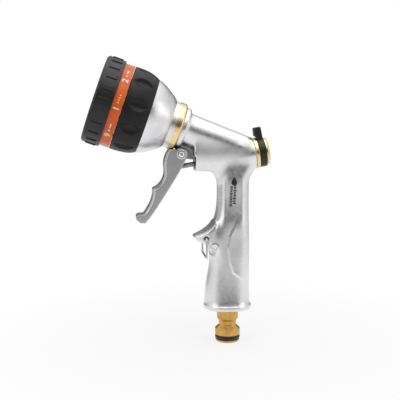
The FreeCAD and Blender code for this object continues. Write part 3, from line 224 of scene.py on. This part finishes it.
def casting_skin():
    """The cast body with run-in corners, palm swelling, label panel and ejector mark."""
    mesh = remeshed("body_casting", CAST_VOXEL)
    points = points_of(mesh)
    x, y, z = points.T
    up, side, station = HEAD.local(points).T
    collar_front = spread("brass_collar", HEAD)[0]
    valve_up, valve_side, valve_station = VALVE.local(points).T
    foot_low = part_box("body_casting")[0].z
    weight = np.ones(len(points))
    weight *= 1 - away(station - collar_front, COLLAR_LAND)
    weight *= 1 - away(valve_station, REAR_LAND)
    weight *= away(z - foot_low, FOOT_LAND)
    weight *= away(np.hypot(x - RECESS[0], z - RECESS[2]), RECESS_LAND)
    weight *= away(np.hypot(x - BAIL[0], z - BAIL[2]), EAR_LAND)
    inside = (np.hypot(valve_up, valve_side) < CHAMBER_BORE[0]) & (valve_station < 0)
    inside &= np.abs(y) < CHAMBER_BORE[1]
    inside |= (np.hypot(up, side) < HEAD_BORE[0]) & (station > HEAD_BORE[1])
    inside |= (np.hypot(x, y) < HANDLE_BORE[0]) & (z < HANDLE_BORE[1])
    weight[inside] = 0
    relax(mesh, weight, CAST_ROUNDS, EDGE_WEAR)
    relax(mesh, np.clip(weight + 0.25, 0, 1) * ~inside, 8)
    points, normals = points_of(mesh), normals_of(mesh)
    x, y, z = points.T / MM
    flank = smooth_step(np.abs(normals[:, 1]), 0.35, 0.75) * ~inside
    gap = crease_distance(x, z, PALM_LINE)
    ends = smooth_step(z, 39, 48) * (1 - smooth_step(z, 78, 88))
    rise = PALM_RISE * ends * smooth_step(gap, -0.5, 0.7) * np.exp(-np.clip(gap, 0, None) / PALM_FADE)
    front, rear, low, high = LABEL_PANEL
    panel = smooth_step(x, front - 0.8, front + 0.8) * (1 - smooth_step(x, rear - 0.8, rear + 0.8))
    panel *= smooth_step(z, low - 6, low + 2) * (1 - smooth_step(z, high - 9.0, high + 3.0))
    rise -= RELIEF * panel
    mark_x, mark_z, mark_r = EJECTOR_MARK
    from_mark = np.hypot(x - mark_x, z - mark_z)
    inner_edge = smooth_step(from_mark, mark_r - 0.9, mark_r - 0.3)
    rise += RELIEF * (inner_edge - smooth_step(from_mark, mark_r, mark_r + 0.6))
    points += normals * (rise * flank * MM)[:, None]
    mesh.vertices.foreach_set("co", points.ravel())
    mesh.update()
    return mesh


RECESS_WALL_R = 11.3 * MM
RECESS_SHADE_HALF = 9.7 * MM                      # half the width over which the painted shade reaches
LUG_HALF = 5.5 * MM                         # half the width of the trigger's lug
RECESS_FRONT = PIVOT[0] - 9 * MM


def paint_recess_shade(mesh):
    """Paints shade on the walls of the trigger's recess: their faces take a much darker material that stands
    in for the shadow there, with the rougher, coarser skin of unblasted metal.
    """
    # the second material slot is painted shade for the recess walls
    mesh.materials.append(LOOKS["recess_painted_shade"].material)
    centres, normals = np.empty((2, len(mesh.polygons) * 3))
    mesh.polygons.foreach_get("center", centres)
    mesh.polygons.foreach_get("normal", normals)
    x, y, z = centres.reshape(-1, 3).T
    across = np.abs(normals.reshape(-1, 3)[:, 1])
    painted_shade_faces = np.hypot(x - RECESS[0], z - RECESS[2]) < RECESS_WALL_R
    painted_shade_faces &= (np.abs(y) < RECESS_SHADE_HALF) & (x > RECESS_FRONT)
    painted_shade_faces &= (across < 0.6) | (np.abs(y) < LUG_HALF)
    mesh.polygons.foreach_set("material_index", painted_shade_faces.astype(int))


TRIGGER_VOXEL = 0.32 * MM
CHEEK = (5.6 * MM, 6.2 * MM)                # half widths between which the trigger's softening fades in


def trigger_skin():
    """The trigger with the rounded edges of a tumbled casting."""
    mesh = remeshed("trigger", TRIGGER_VOXEL)
    points = points_of(mesh)
    outer = smooth_step(np.abs(points[:, 1]), *CHEEK)
    relax(mesh, 0.15 + 0.85 * outer, 7)
    return mesh


# ---------------------------------------------------------------- rubber sleeve
SLEEVE_SEAT_R = 23.6 * MM
SLEEVE_ROUND = 0.7 * MM         # round of the front edge
REAR_EDGE = (0.4 * SLEEVE_ROUND, 0.6 * SLEEVE_ROUND)    # length and depth of the bevel at the bell
# the sleeve's curve: shares of its length, and of its swell from the bell to its full radius
SLEEVE_LENGTHS = np.array([0, 0.36, 0.68, 1.0])
SLEEVE_SWELL = np.array([0, 0.78, 1.0, 1.0])
SLEEVE_ROWS = 66
DIMPLES = 11
SCOOP_HALF = 6.7 * MM           # half the scoop's length, along the head
SCOOP_WIDTH = 8.0 * MM
SCOOP_DEPTH = 1.9 * MM
SCOOP_PLACE = 0.52              # share of the sleeve's length at the scoops' middle
SCOOP_COLUMNS = 48


def sleeve_mesh():
    """Rubber sleeve turned from its profile, with scooped leaf-shaped dimples."""
    low, high, wide = spread("grip_sleeve", HEAD)
    narrow = spread("head_bell", HEAD)[2]
    length = high - low
    cubic = np.polyfit(SLEEVE_LENGTHS * length, narrow + SLEEVE_SWELL * (wide - narrow), 3)
    edge_length, edge_depth = REAR_EDGE
    turns = np.linspace(0, math.pi / 2, 5)[:-1]
    stations = np.concatenate(
        [
            low + edge_length * (1 - np.cos(turns)),
            np.linspace(low + edge_length, high - SLEEVE_ROUND, SLEEVE_ROWS),
            high - SLEEVE_ROUND + SLEEVE_ROUND * np.sin(turns[1:]),
            [high],
        ]
    )
    outer = np.minimum(np.polyval(cubic, stations - low), wide)
    outer -= edge_depth * (1 - smooth_step(stations, low, low + edge_length))
    tail = np.clip((stations - (high - SLEEVE_ROUND)) / SLEEVE_ROUND, 0, 1)
    outer -= SLEEVE_ROUND * (1 - np.sqrt(1 - tail * tail))
    profile_station = np.concatenate([stations, [high, low]])
    profile_radius = np.concatenate([outer, [SLEEVE_SEAT_R, SLEEVE_SEAT_R]])
    around = DIMPLES * SCOOP_COLUMNS
    angle = np.arange(around) * 2 * math.pi / around
    radius = np.repeat(profile_radius[None], around, 0)
    station = np.repeat(profile_station[None], around, 0)
    centre = low + SCOOP_PLACE * length
    bow = (SCOOP_HALF**2 + (SCOOP_WIDTH / 2) ** 2) / SCOOP_WIDTH
    along = np.clip((station - centre) / SCOOP_HALF, -1, 1)
    reach = np.sqrt(bow**2 - (along * SCOOP_HALF) ** 2) - (bow - SCOOP_WIDTH / 2)
    pitch = 2 * math.pi / DIMPLES
    offset = (angle % pitch - pitch / 2)[:, None] * radius
    across = np.abs(offset) / np.maximum(reach, 0.05 * MM)
    scoop = np.clip(1 - across**2, 0, 1) ** 0.85 * np.clip(1 - along**2, 0, 1) ** 0.45
    outside = np.arange(len(profile_station)) < len(stations)
    radius = radius - SCOOP_DEPTH * scoop * outside[None]
    points = HEAD.ring(radius, np.repeat(angle[:, None], len(profile_station), 1), station)
    count = len(profile_station)
    faces = []
    for i in range(around):
        k = (i + 1) % around
        for j in range(count):
            m = (j + 1) % count
            faces.append((i * count + j, k * count + j, k * count + m, i * count + m))
    return mesh_from("sleeve", points.reshape(-1, 3), faces)


# ---------------------------------------------------------------- printed marks
INK_HALF = 0.04 * MM            # half the thickness of a printed mark
BOLDER = 0.14 * MM              # how much each digit's outline grows
DIGIT_HEIGHT = 5.4 * MM
DIGIT_PLACE = -3.8 * MM         # where each digit and its icon start along the band
ICON_PLACE = -1.2 * MM
FIRST_MARK = math.radians(273.0)
# each pattern's icon in millimetres: bars and dots as (x, y, width, height, sides of the dot or 0)
ICONS = [
    [(1.0 + 1.3 * k, 0.0, 0.7, 0.7, 10) for k in range(4)],
    [(3.0, 0.0, 4.6, 1.0, 0)],
    [(1.4 + 1.3 * k, 0.9 - 1.8 * (k % 2), 0.6, 0.6, 10) for k in range(4)],
    [(1.2 + 1.2 * k, 0.0, 0.5, 2.8, 0) for k in range(4)],
    [(1.6, 0.0, 2.0, 2.0, 14), (4.2, 0.0, 1.3, 1.3, 12)],
    [(3.0, 1.0, 4.2, 0.5, 0), (3.0, -0.1, 3.0, 0.5, 0), (3.0, -1.2, 4.2, 0.5, 0)],
    [(1.2 + 1.5 * k, 0.8 * (k % 2), 1.0, 0.5, 0) for k in range(4)],
    [(1.0 + 1.2 * k, y, 0.5, 0.5, 8) for k in range(4) for y in (-0.8, 0.8)],
    [(1.2, 0.0, 1.2, 1.2, 12), (3.8, 0.0, 2.6, 0.6, 0)],
]
ICON_SPACING = 1.25 * MM
ICON_SCALE = 1.3 * MM


def flat_text(text, height):
    """Flat outline of a generic number, centred, as (points, faces)."""
    curve = bpy.data.curves.new("digit", "FONT")
    curve.body = text
    curve.size = height
    curve.align_x = "CENTER"
    curve.align_y = "CENTER"
    curve.extrude = INK_HALF
    curve.offset = BOLDER
    curve.resolution_u = 3
    obj = bpy.data.objects.new("digit", curve)
    bpy.context.scene.collection.objects.link(obj)
    graph = bpy.context.evaluated_depsgraph_get()
    mesh = bpy.data.meshes.new_from_object(obj.evaluated_get(graph))
    points = points_of(mesh)
    faces = [tuple(p.vertices) for p in mesh.polygons]
    bpy.data.objects.remove(obj)
    return points, faces


def flat_bar(x, y, width, height, sides=0):
    """Flat bar, or a dot where sides is given, as (points, faces)."""
    if sides:
        turn = np.arange(sides) * 2 * math.pi / sides
        ring = np.stack([x + width / 2 * np.cos(turn), y + height / 2 * np.sin(turn)], -1)
    else:
        half = np.array([width, height]) / 2
        steps = np.linspace(-1, 1, 5)
        lower = [(s, -1) for s in steps]
        upper = [(s, 1) for s in steps[::-1]]
        ring = np.array(lower + upper) * half + (x, y)
    count = len(ring)
    low = np.column_stack([ring, np.full(count, -INK_HALF)])
    high = np.column_stack([ring, np.full(count, INK_HALF)])
    faces = [tuple(range(count))[::-1], tuple(range(count, 2 * count))]
    faces += [(i, (i + 1) % count, count + (i + 1) % count, count + i) for i in range(count)]
    return np.vstack([low, high]), faces


def band_marks():
    """Generic numbers and spray marks round the pattern band, wrapped on its surface."""
    low, high, radius = spread("pattern_band", HEAD)
    middle = (low + high) / 2
    all_points, all_faces = [], []
    for index, icon in enumerate(ICONS):
        centre = FIRST_MARK + 2 * math.pi * index / len(ICONS)
        shapes = [(DIGIT_PLACE, flat_text(str(index + 1), DIGIT_HEIGHT))]
        for x, y, width, height, sides in icon:
            bar = flat_bar(x * ICON_SPACING, y * ICON_SPACING, width * ICON_SCALE, height * ICON_SCALE, sides)
            shapes.append((ICON_PLACE, bar))
        for shift, (points, faces) in shapes:
            angle = centre + (points[:, 0] + shift) / radius
            placed = HEAD.ring(radius + points[:, 2], angle, middle + points[:, 1])
            start = sum(len(p) for p in all_points)
            all_points.append(placed)
            all_faces += [tuple(start + v for v in face) for face in faces]
    return mesh_from("band_marks", np.vstack(all_points), all_faces)


def drop_outline(x, z, size):
    """Outline of a water drop, point up."""
    turn = np.linspace(0, 2 * math.pi, DROP_POINTS, endpoint=False)
    wide = np.sin(turn) * np.sin(turn / 2) ** 1.4
    tall = np.cos(turn)
    return np.stack([x + 0.55 * size * wide, z + 0.62 * size * tall], -1)


# the printed drop and the rows of ticks below it, in millimetres on the handle's side
DROP = (2.6, 110.4, 4.8)        # centre and size
DROP_POINTS = 40
TICK_TOPS = (106.6, 107.2)
TICK_WIDTHS = (2.1, 1.4, 1.8, 1.2, 2.1, 1.6, 1.3, 2.0, 1.5, 2.1, 1.2, 1.7, 2.1)
TICK_PITCH = 1.05
TICK_HALF = 0.38
TICK_LEFT = 0.9
ROW_PITCH = 2.3
ROW_LEAN = 0.05
PRINT_LIFT = 0.05               # how far a mark stands off the skin, and how far its rim sinks into it
RINGS = (1.0, 0.72, 0.45, 0.2)  # sizes of the rings of points that lay each mark on the skin
RAY_START = -50.0


def grip_marks(skin):
    """A plain water-drop symbol and two rows of scale ticks printed on the label panel."""
    tree = BVHTree.FromObject(skin, bpy.context.evaluated_depsgraph_get())
    outlines = [drop_outline(*DROP)]
    for row, top in enumerate(TICK_TOPS):
        for k, width in enumerate(TICK_WIDTHS[row:]):
            place = np.array([TICK_LEFT + ROW_PITCH * row - ROW_LEAN * k, top - TICK_PITCH * k])
            corners = np.array([(-1, -1), (1, -1), (1, 1), (-1, 1)])
            outlines.append(place + corners * (width / 2, TICK_HALF))
    all_points, all_faces = [], []
    for outline in outlines:
        count = len(outline)
        middle = outline.mean(0)
        rings = [(outline, -PRINT_LIFT)]
        rings += [(middle + (outline - middle) * size, PRINT_LIFT) for size in RINGS]
        start = sum(len(p) for p in all_points)
        placed = []
        for ring, lift in rings:
            for x, z in ring:
                hit = tree.ray_cast(Vector((x, RAY_START, z)) * MM, Vector((0, 1, 0)))[0]
                placed.append((x * MM, hit.y - lift * MM, z * MM))
        all_points.append(np.array(placed))
        for row in range(len(rings) - 1):
            low, high = start + row * count, start + (row + 1) * count
            for i in range(count):
                k = (i + 1) % count
                all_faces.append((low + i, low + k, high + k, high + i))
        last = start + (len(rings) - 1) * count
        all_faces.append(tuple(range(last, last + count)))
        all_faces.append(tuple(range(start + count - 1, start - 1, -1)))
    return mesh_from("grip_marks", np.vstack(all_points), all_faces)


# ---------------------------------------------------------------- materials
def add(tree, kind, operation=None, **inputs):
    """A new shader node, with the values of its inputs; an underscore stands for a space."""
    node = tree.nodes.new("ShaderNode" + kind)
    if operation:
        node.operation = operation
    for name, value in inputs.items():
        node.inputs[name.replace("_", " ")].default_value = value
    return node


class Finish:
    """A Principled material with noise layers in the object's own coordinates."""

    def __init__(self, name, tilt=0.0, **inputs):
        self.material = bpy.data.materials.new(name)
        self.material.use_nodes = True
        self.tree = self.material.node_tree
        self.link = self.tree.links.new
        self.shader = self.tree.nodes["Principled BSDF"]
        for key, value in inputs.items():
            self.shader.inputs[key.replace("_", " ")].default_value = value
        place = add(self.tree, "TexCoord")
        mapping = add(self.tree, "Mapping", Rotation=(0, math.radians(tilt), 0))
        self.link(place.outputs["Object"], mapping.inputs["Vector"])
        self.place = mapping.outputs["Vector"]
        self.bump = None

    def noise(self, size, detail=3.0, stretch=None):
        """Noise whose features are about size metres across."""
        vector = self.place
        if stretch:
            scaled = add(self.tree, "VectorMath", "MULTIPLY")
            scaled.inputs[1].default_value = stretch
            self.link(vector, scaled.inputs[0])
            vector = scaled.outputs["Vector"]
        noise = add(self.tree, "TexNoise", Scale=1 / size, Detail=detail)
        self.link(vector, noise.inputs["Vector"])
        return noise.outputs["Fac"]

    def colours(self, value, stops):
        """Base colour from a ramp of (position, colour) stops."""
        ramp = add(self.tree, "ValToRGB")
        first, last = ramp.color_ramp.elements
        first.position, last.position = stops[0][0], stops[-1][0]
        first.color, last.color = (*stops[0][1], 1), (*stops[-1][1], 1)
        for position, colour in stops[1:-1]:
            ramp.color_ramp.elements.new(position).color = (*colour, 1)
        self.link(value, ramp.inputs["Fac"])
        self.link(ramp.outputs["Color"], self.shader.inputs["Base Color"])

    def roughness(self, value, low, high):
        """Roughness between two levels where the noise runs from 0.3 to 0.7."""
        share = add(self.tree, "MapRange", From_Min=0.3, From_Max=0.7, To_Min=low, To_Max=high)
        self.link(value, share.inputs["Value"])
        self.link(share.outputs["Result"], self.shader.inputs["Roughness"])

    def relief(self, value, height, strength):
        """Adds a bump layer of a height in metres."""
        bump = add(self.tree, "Bump", Strength=strength, Distance=height)
        self.link(value, bump.inputs["Height"])
        if self.bump:
            self.link(self.bump, bump.inputs["Normal"])
        self.bump = bump.outputs["Normal"]
        self.link(self.bump, self.shader.inputs["Normal"])


def cast_metal(name, light, dark, low, high, grain):
    """Bead-blasted cast alloy: cloudy tone, fine grain and a slightly wavy skin."""
    made = Finish(name, Metallic=1.0)
    between = tuple(0.5 * (a + b) for a, b in zip(light, dark))
    made.colours(made.noise(11 * MM, 4.0), [(0.32, dark), (0.5, light), (0.72, between)])
    made.roughness(made.noise(2.2 * MM, 5.0), low, high)
    made.relief(made.noise(9 * MM, 2.0), 0.10 * MM, 0.6)
    made.relief(made.noise(0.34 * MM, 2.0), grain * MM, 0.9)
    return made


def turned_metal(name, light, dark, low, high, tilt=0.0):
    """Turned metal: fine rings round the axis and a thin tarnish."""
    made = Finish(name, tilt, Metallic=1.0)
    made.colours(made.noise(3.5 * MM, 4.0), [(0.3, dark), (0.62, light)])
    rings = made.noise(1.6 * MM, 3.0, (0.05, 0.05, 9.0))
    made.roughness(rings, low, high)
    made.relief(rings, 0.010 * MM, 0.5)
    return made


def moulded(name, light, dark, low, high, size, depth, **inputs):
    """Moulded plastic or rubber with a fine spark-eroded texture, size and depth in millimetres."""
    made = Finish(name, **inputs)
    made.colours(made.noise(6 * MM, 4.0), [(0.35, dark), (0.65, light)])
    made.roughness(made.noise(1.4 * MM, 4.0), low, high)
    made.relief(made.noise(size * MM, 2.0), depth * MM, 0.7)
    return made


HEAD_TILT = math.degrees(math.atan2(HEAD.along[0], HEAD.along[2]))
VALVE_TILT = math.degrees(math.atan2(VALVE.along[0], VALVE.along[2]))

RECIPES = {
    # name: kind, lighter tone, darker tone, roughness from and to, then what the kind adds
    "cast_aluminium": (cast_metal, (0.80, 0.80, 0.81), (0.75, 0.75, 0.76), 0.26, 0.36, 0.004),
    # painted shade: the recess walls' dark tone stands in for their shadow; the higher roughness and coarser
    # grain are the unblasted skin
    "recess_painted_shade": (cast_metal, (0.30, 0.30, 0.31), (0.20, 0.20, 0.21), 0.38, 0.52, 0.012),
    "bell_aluminium": (cast_metal, (0.79, 0.79, 0.80), (0.70, 0.70, 0.71), 0.26, 0.36, 0.008),
    "trigger_alloy": (cast_metal, (0.56, 0.56, 0.57), (0.50, 0.50, 0.51), 0.32, 0.42, 0.008),
    "polished_brass": (turned_metal, (0.87, 0.71, 0.38), (0.78, 0.60, 0.27), 0.12, 0.24, -HEAD_TILT),
    "rear_brass": (turned_metal, (0.87, 0.71, 0.38), (0.78, 0.60, 0.27), 0.14, 0.26, -VALVE_TILT),
    "nose_brass": (turned_metal, (0.66, 0.40, 0.11), (0.52, 0.29, 0.07), 0.20, 0.32),
    "steel_wire": (turned_metal, (0.60, 0.61, 0.62), (0.46, 0.47, 0.48), 0.18, 0.30),
    "stem_steel": (turned_metal, (0.36, 0.36, 0.37), (0.24, 0.24, 0.25), 0.22, 0.34, -VALVE_TILT),
    "rivet_steel": (turned_metal, (0.82, 0.82, 0.83), (0.68, 0.68, 0.69), 0.16, 0.28),
    "spring_steel": (turned_metal, (0.55, 0.56, 0.58), (0.42, 0.43, 0.45), 0.22, 0.34),
    "black_rubber": (moulded, (0.009, 0.009, 0.008), (0.006, 0.006, 0.006), 0.36, 0.50, 0.4, 0.018),
    "black_plastic": (moulded, (0.012, 0.012, 0.011), (0.008, 0.008, 0.008), 0.34, 0.44, 0.3, 0.015),
    "band_plastic": (moulded, (0.80, 0.150, 0.010), (0.72, 0.115, 0.006), 0.26, 0.34, 0.7, 0.006),
    "face_plastic": (moulded, (0.060, 0.060, 0.064), (0.045, 0.045, 0.048), 0.42, 0.54, 0.4, 0.02),
    "inner_plastic": (moulded, (0.72, 0.71, 0.68), (0.66, 0.65, 0.62), 0.40, 0.5, 0.8, 0.01),
    "seal_rubber": (moulded, (0.014, 0.012, 0.012), (0.009, 0.008, 0.008), 0.30, 0.42, 0.5, 0.006),
    "mark_ink": (moulded, (0.86, 0.84, 0.80), (0.78, 0.76, 0.70), 0.35, 0.5, 0.3, 0.01),
    "grip_ink": (moulded, (0.014, 0.014, 0.015), (0.010, 0.010, 0.011), 0.4, 0.55, 0.3, 0.01),
}
# constants of the shader that differ from its defaults
GLOSS = {
    "black_rubber": {"Specular_IOR_Level": 0.3},
    "black_plastic": {"Specular_IOR_Level": 0.45},
    "band_plastic": {"Coat_Weight": 0.12, "Coat_Roughness": 0.16, "Specular_IOR_Level": 0.3},
}
LOOKS = {
    name: kind(name, *values, **GLOSS.get(name, {})) for name, (kind, *values) in RECIPES.items()
}
ON_VALVE_AXIS = {"rear_gland", "flow_cap", "flow_spindle", "valve_seat", "poppet", "stem_gland"}


def dress_nodes():
    """Gives every CAD node its finish."""
    for name, node in NODES.items():
        slot = node.data.materials[0].name.split(".")[0]
        look = "rear_brass" if name in ON_VALVE_AXIS else slot
        node.data.materials[0] = LOOKS[look].material


def valve_coil():
    """The valve's spring, as its own copy of the CAD node."""
    front, rear, _ = spread("valve_spring", VALVE)
    mesh = NODES["valve_spring"].data.copy()
    coil = piece("valve_coil", mesh, "spring_steel", "root", ["valve_spring"])
    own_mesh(coil)


# ---------------------------------------------------------------- stage
FLOOR_R = 0.30
FLOOR_SIDES = 64
SHADOW_KEPT = (0.03, 0.22)      # distances between which the floor fades to plain white
WHITE_SHARE = 0.80              # white in the floor near the object


def stage_floor():
    """Round pale floor: white to the eye, with a soft shadow near the object."""
    turn = np.arange(FLOOR_SIDES) * 2 * math.pi / FLOOR_SIDES
    rim = np.column_stack([FLOOR_R * np.cos(turn), FLOOR_R * np.sin(turn), np.zeros(FLOOR_SIDES)])
    mesh = mesh_from("floor", rim, [tuple(range(FLOOR_SIDES))])
    floor = bpy.data.objects.new("floor", mesh)
    bpy.context.scene.collection.objects.link(floor)
    material = bpy.data.materials.new("floor_paper")
    material.use_nodes = True
    tree = material.node_tree
    paper = tree.nodes["Principled BSDF"]
    paper.inputs["Base Color"].default_value = (0.86, 0.86, 0.86, 1)
    paper.inputs["Roughness"].default_value = 0.9
    paper.inputs["Specular IOR Level"].default_value = 0.0
    white = add(tree, "Emission")
    path = add(tree, "LightPath")
    seen = add(tree, "Math", "MAXIMUM")
    seen_too = add(tree, "Math", "MAXIMUM")
    place = add(tree, "TexCoord")
    distance = add(tree, "VectorMath", "LENGTH")
    near, far = SHADOW_KEPT
    fade = add(tree, "MapRange", From_Min=near, From_Max=far, To_Min=WHITE_SHARE, To_Max=1.0)
    fade.interpolation_type = "SMOOTHSTEP"
    share = add(tree, "Math", "MULTIPLY")
    mix = add(tree, "MixShader")
    links = tree.links
    links.new(place.outputs["Object"], distance.inputs[0])
    links.new(distance.outputs["Value"], fade.inputs["Value"])
    links.new(path.outputs["Is Camera Ray"], seen.inputs[0])
    links.new(path.outputs["Is Glossy Ray"], seen.inputs[1])
    links.new(seen.outputs[0], seen_too.inputs[0])
    links.new(path.outputs["Is Transmission Ray"], seen_too.inputs[1])
    links.new(seen_too.outputs[0], share.inputs[0])
    links.new(fade.outputs["Result"], share.inputs[1])
    links.new(share.outputs[0], mix.inputs["Fac"])
    links.new(paper.outputs["BSDF"], mix.inputs[1])
    links.new(white.outputs["Emission"], mix.inputs[2])
    links.new(mix.outputs["Shader"], tree.nodes["Material Output"].inputs["Surface"])
    mesh.materials.append(material)


# what polished metal mirrors, as grey levels: by |Y| from the sides to the dark flags front and back
FLAGS = ((0.35, 0.76), (0.78, 0.22), (1.0, 0.10))
# height where the sky above and the ground below start, where they are reached, and their level
SKY_AND_GROUND = ((0.25, 0.70, 1.0), (0.02, -0.22, 0.84))


def studio():
    """White studio: plain light for matt surfaces, and dark flags front and back in reflections."""
    world = bpy.data.worlds.new("studio")
    bpy.context.scene.world = world
    world.use_nodes = True
    tree = world.node_tree
    link = tree.links.new
    plain = tree.nodes["Background"]
    plain.inputs["Color"].default_value = (1, 1, 1, 1)
    plain.inputs["Strength"].default_value = 0.5
    place = add(tree, "TexCoord")
    split = add(tree, "SeparateXYZ")
    link(place.outputs["Generated"], split.inputs["Vector"])
    size = add(tree, "Math", "ABSOLUTE")
    link(split.outputs["Y"], size.inputs[0])
    ramp = add(tree, "ValToRGB")
    first, last = ramp.color_ramp.elements
    first.position, last.position = FLAGS[0][0], FLAGS[-1][0]
    ramp.color_ramp.elements.new(FLAGS[1][0])
    for (_, tone), stop in zip(FLAGS, ramp.color_ramp.elements):
        stop.color = (tone, tone, tone, 1)
    link(size.outputs[0], ramp.inputs["Fac"])
    level = ramp.outputs["Color"]
    for start, end, tone in SKY_AND_GROUND:
        height = add(tree, "MapRange", From_Min=start, From_Max=end)
        height.interpolation_type = "SMOOTHSTEP"
        link(split.outputs["Z"], height.inputs["Value"])
        blend = add(tree, "MixRGB", Color2=(tone, tone, tone, 1))
        link(height.outputs["Result"], blend.inputs["Fac"])
        link(level, blend.inputs["Color1"])
        level = blend.outputs["Color"]
    mirrored = add(tree, "Background")
    link(level, mirrored.inputs["Color"])
    white = add(tree, "Background", Color=(1, 1, 1, 1))
    path = add(tree, "LightPath")
    seen = add(tree, "Math", "MAXIMUM")
    link(path.outputs["Is Glossy Ray"], seen.inputs[0])
    link(path.outputs["Is Transmission Ray"], seen.inputs[1])
    lit = add(tree, "MixShader")
    link(seen.outputs[0], lit.inputs["Fac"])
    link(plain.outputs["Background"], lit.inputs[1])
    link(mirrored.outputs["Background"], lit.inputs[2])
    shown = add(tree, "MixShader")
    link(path.outputs["Is Camera Ray"], shown.inputs["Fac"])
    link(lit.outputs["Shader"], shown.inputs[1])
    link(white.outputs["Background"], shown.inputs[2])
    link(shown.outputs["Shader"], tree.nodes["World Output"].inputs["Surface"])


def softbox(name, place, aim, size, power):
    """Square area lamp that the camera doesn't see."""
    lamp = bpy.data.lights.new(name, "AREA")
    lamp.shape = "SQUARE"
    lamp.size = size
    lamp.energy = power
    obj = bpy.data.objects.new(name, lamp)
    obj.location = place
    obj.rotation_euler = (Vector(aim) - Vector(place)).to_track_quat("-Z", "Y").to_euler()
    obj.visible_camera = False
    bpy.context.scene.collection.objects.link(obj)


CAMERA_AIM = Vector((-0.018905, 0.0, 0.097009))
CAMERA_AZIMUTH = math.radians(-6.5)
CAMERA_ELEVATION = math.radians(6.3)
CAMERA_DISTANCE = 0.5
CAMERA_LENS = 67.08


def camera():
    """Camera a little left of square-on and a little above."""
    level = math.cos(CAMERA_ELEVATION)
    back = Vector(
        (math.sin(CAMERA_AZIMUTH) * level, -math.cos(CAMERA_AZIMUTH) * level, math.sin(CAMERA_ELEVATION))
    )
    data = bpy.data.cameras.new("camera")
    data.sensor_width = 36.0
    data.lens = CAMERA_LENS
    data.clip_start, data.clip_end = 0.01, 20.0
    obj = bpy.data.objects.new("camera", data)
    obj.location = CAMERA_AIM + back * CAMERA_DISTANCE
    obj.rotation_euler = (-back).to_track_quat("-Z", "Y").to_euler()
    bpy.context.scene.collection.objects.link(obj)
    bpy.context.scene.camera = obj


# ---------------------------------------------------------------- scene
bpy.context.scene.view_settings.view_transform = "Standard"
dress_nodes()
skin = piece("cast_body", casting_skin(), "cast_aluminium", "root", ["body_casting"])
# paints shade into the trigger's recess as a darker material on its walls
paint_recess_shade(skin.data)
piece("trigger_cast", trigger_skin(), "trigger_alloy", "trigger", ["trigger"])
piece("rubber_sleeve", sleeve_mesh(), "black_rubber", "root", ["grip_sleeve"])
piece("band_marks", band_marks(), "mark_ink", "head_selector")
piece("grip_marks", grip_marks(skin), "grip_ink", "root")
valve_coil()
stage_floor()
studio()
OBJECT_MIDDLE = (-0.03, 0, 0.11)
softbox("top_box", (-0.05, -0.10, 0.80), OBJECT_MIDDLE, 0.90, 3.2)
softbox("left_box", (-0.62, -0.35, 0.30), OBJECT_MIDDLE, 0.40, 0.4)
softbox("right_box", (0.60, -0.30, 0.28), (-0.03, 0, 0.10), 0.40, 0.4)
camera()
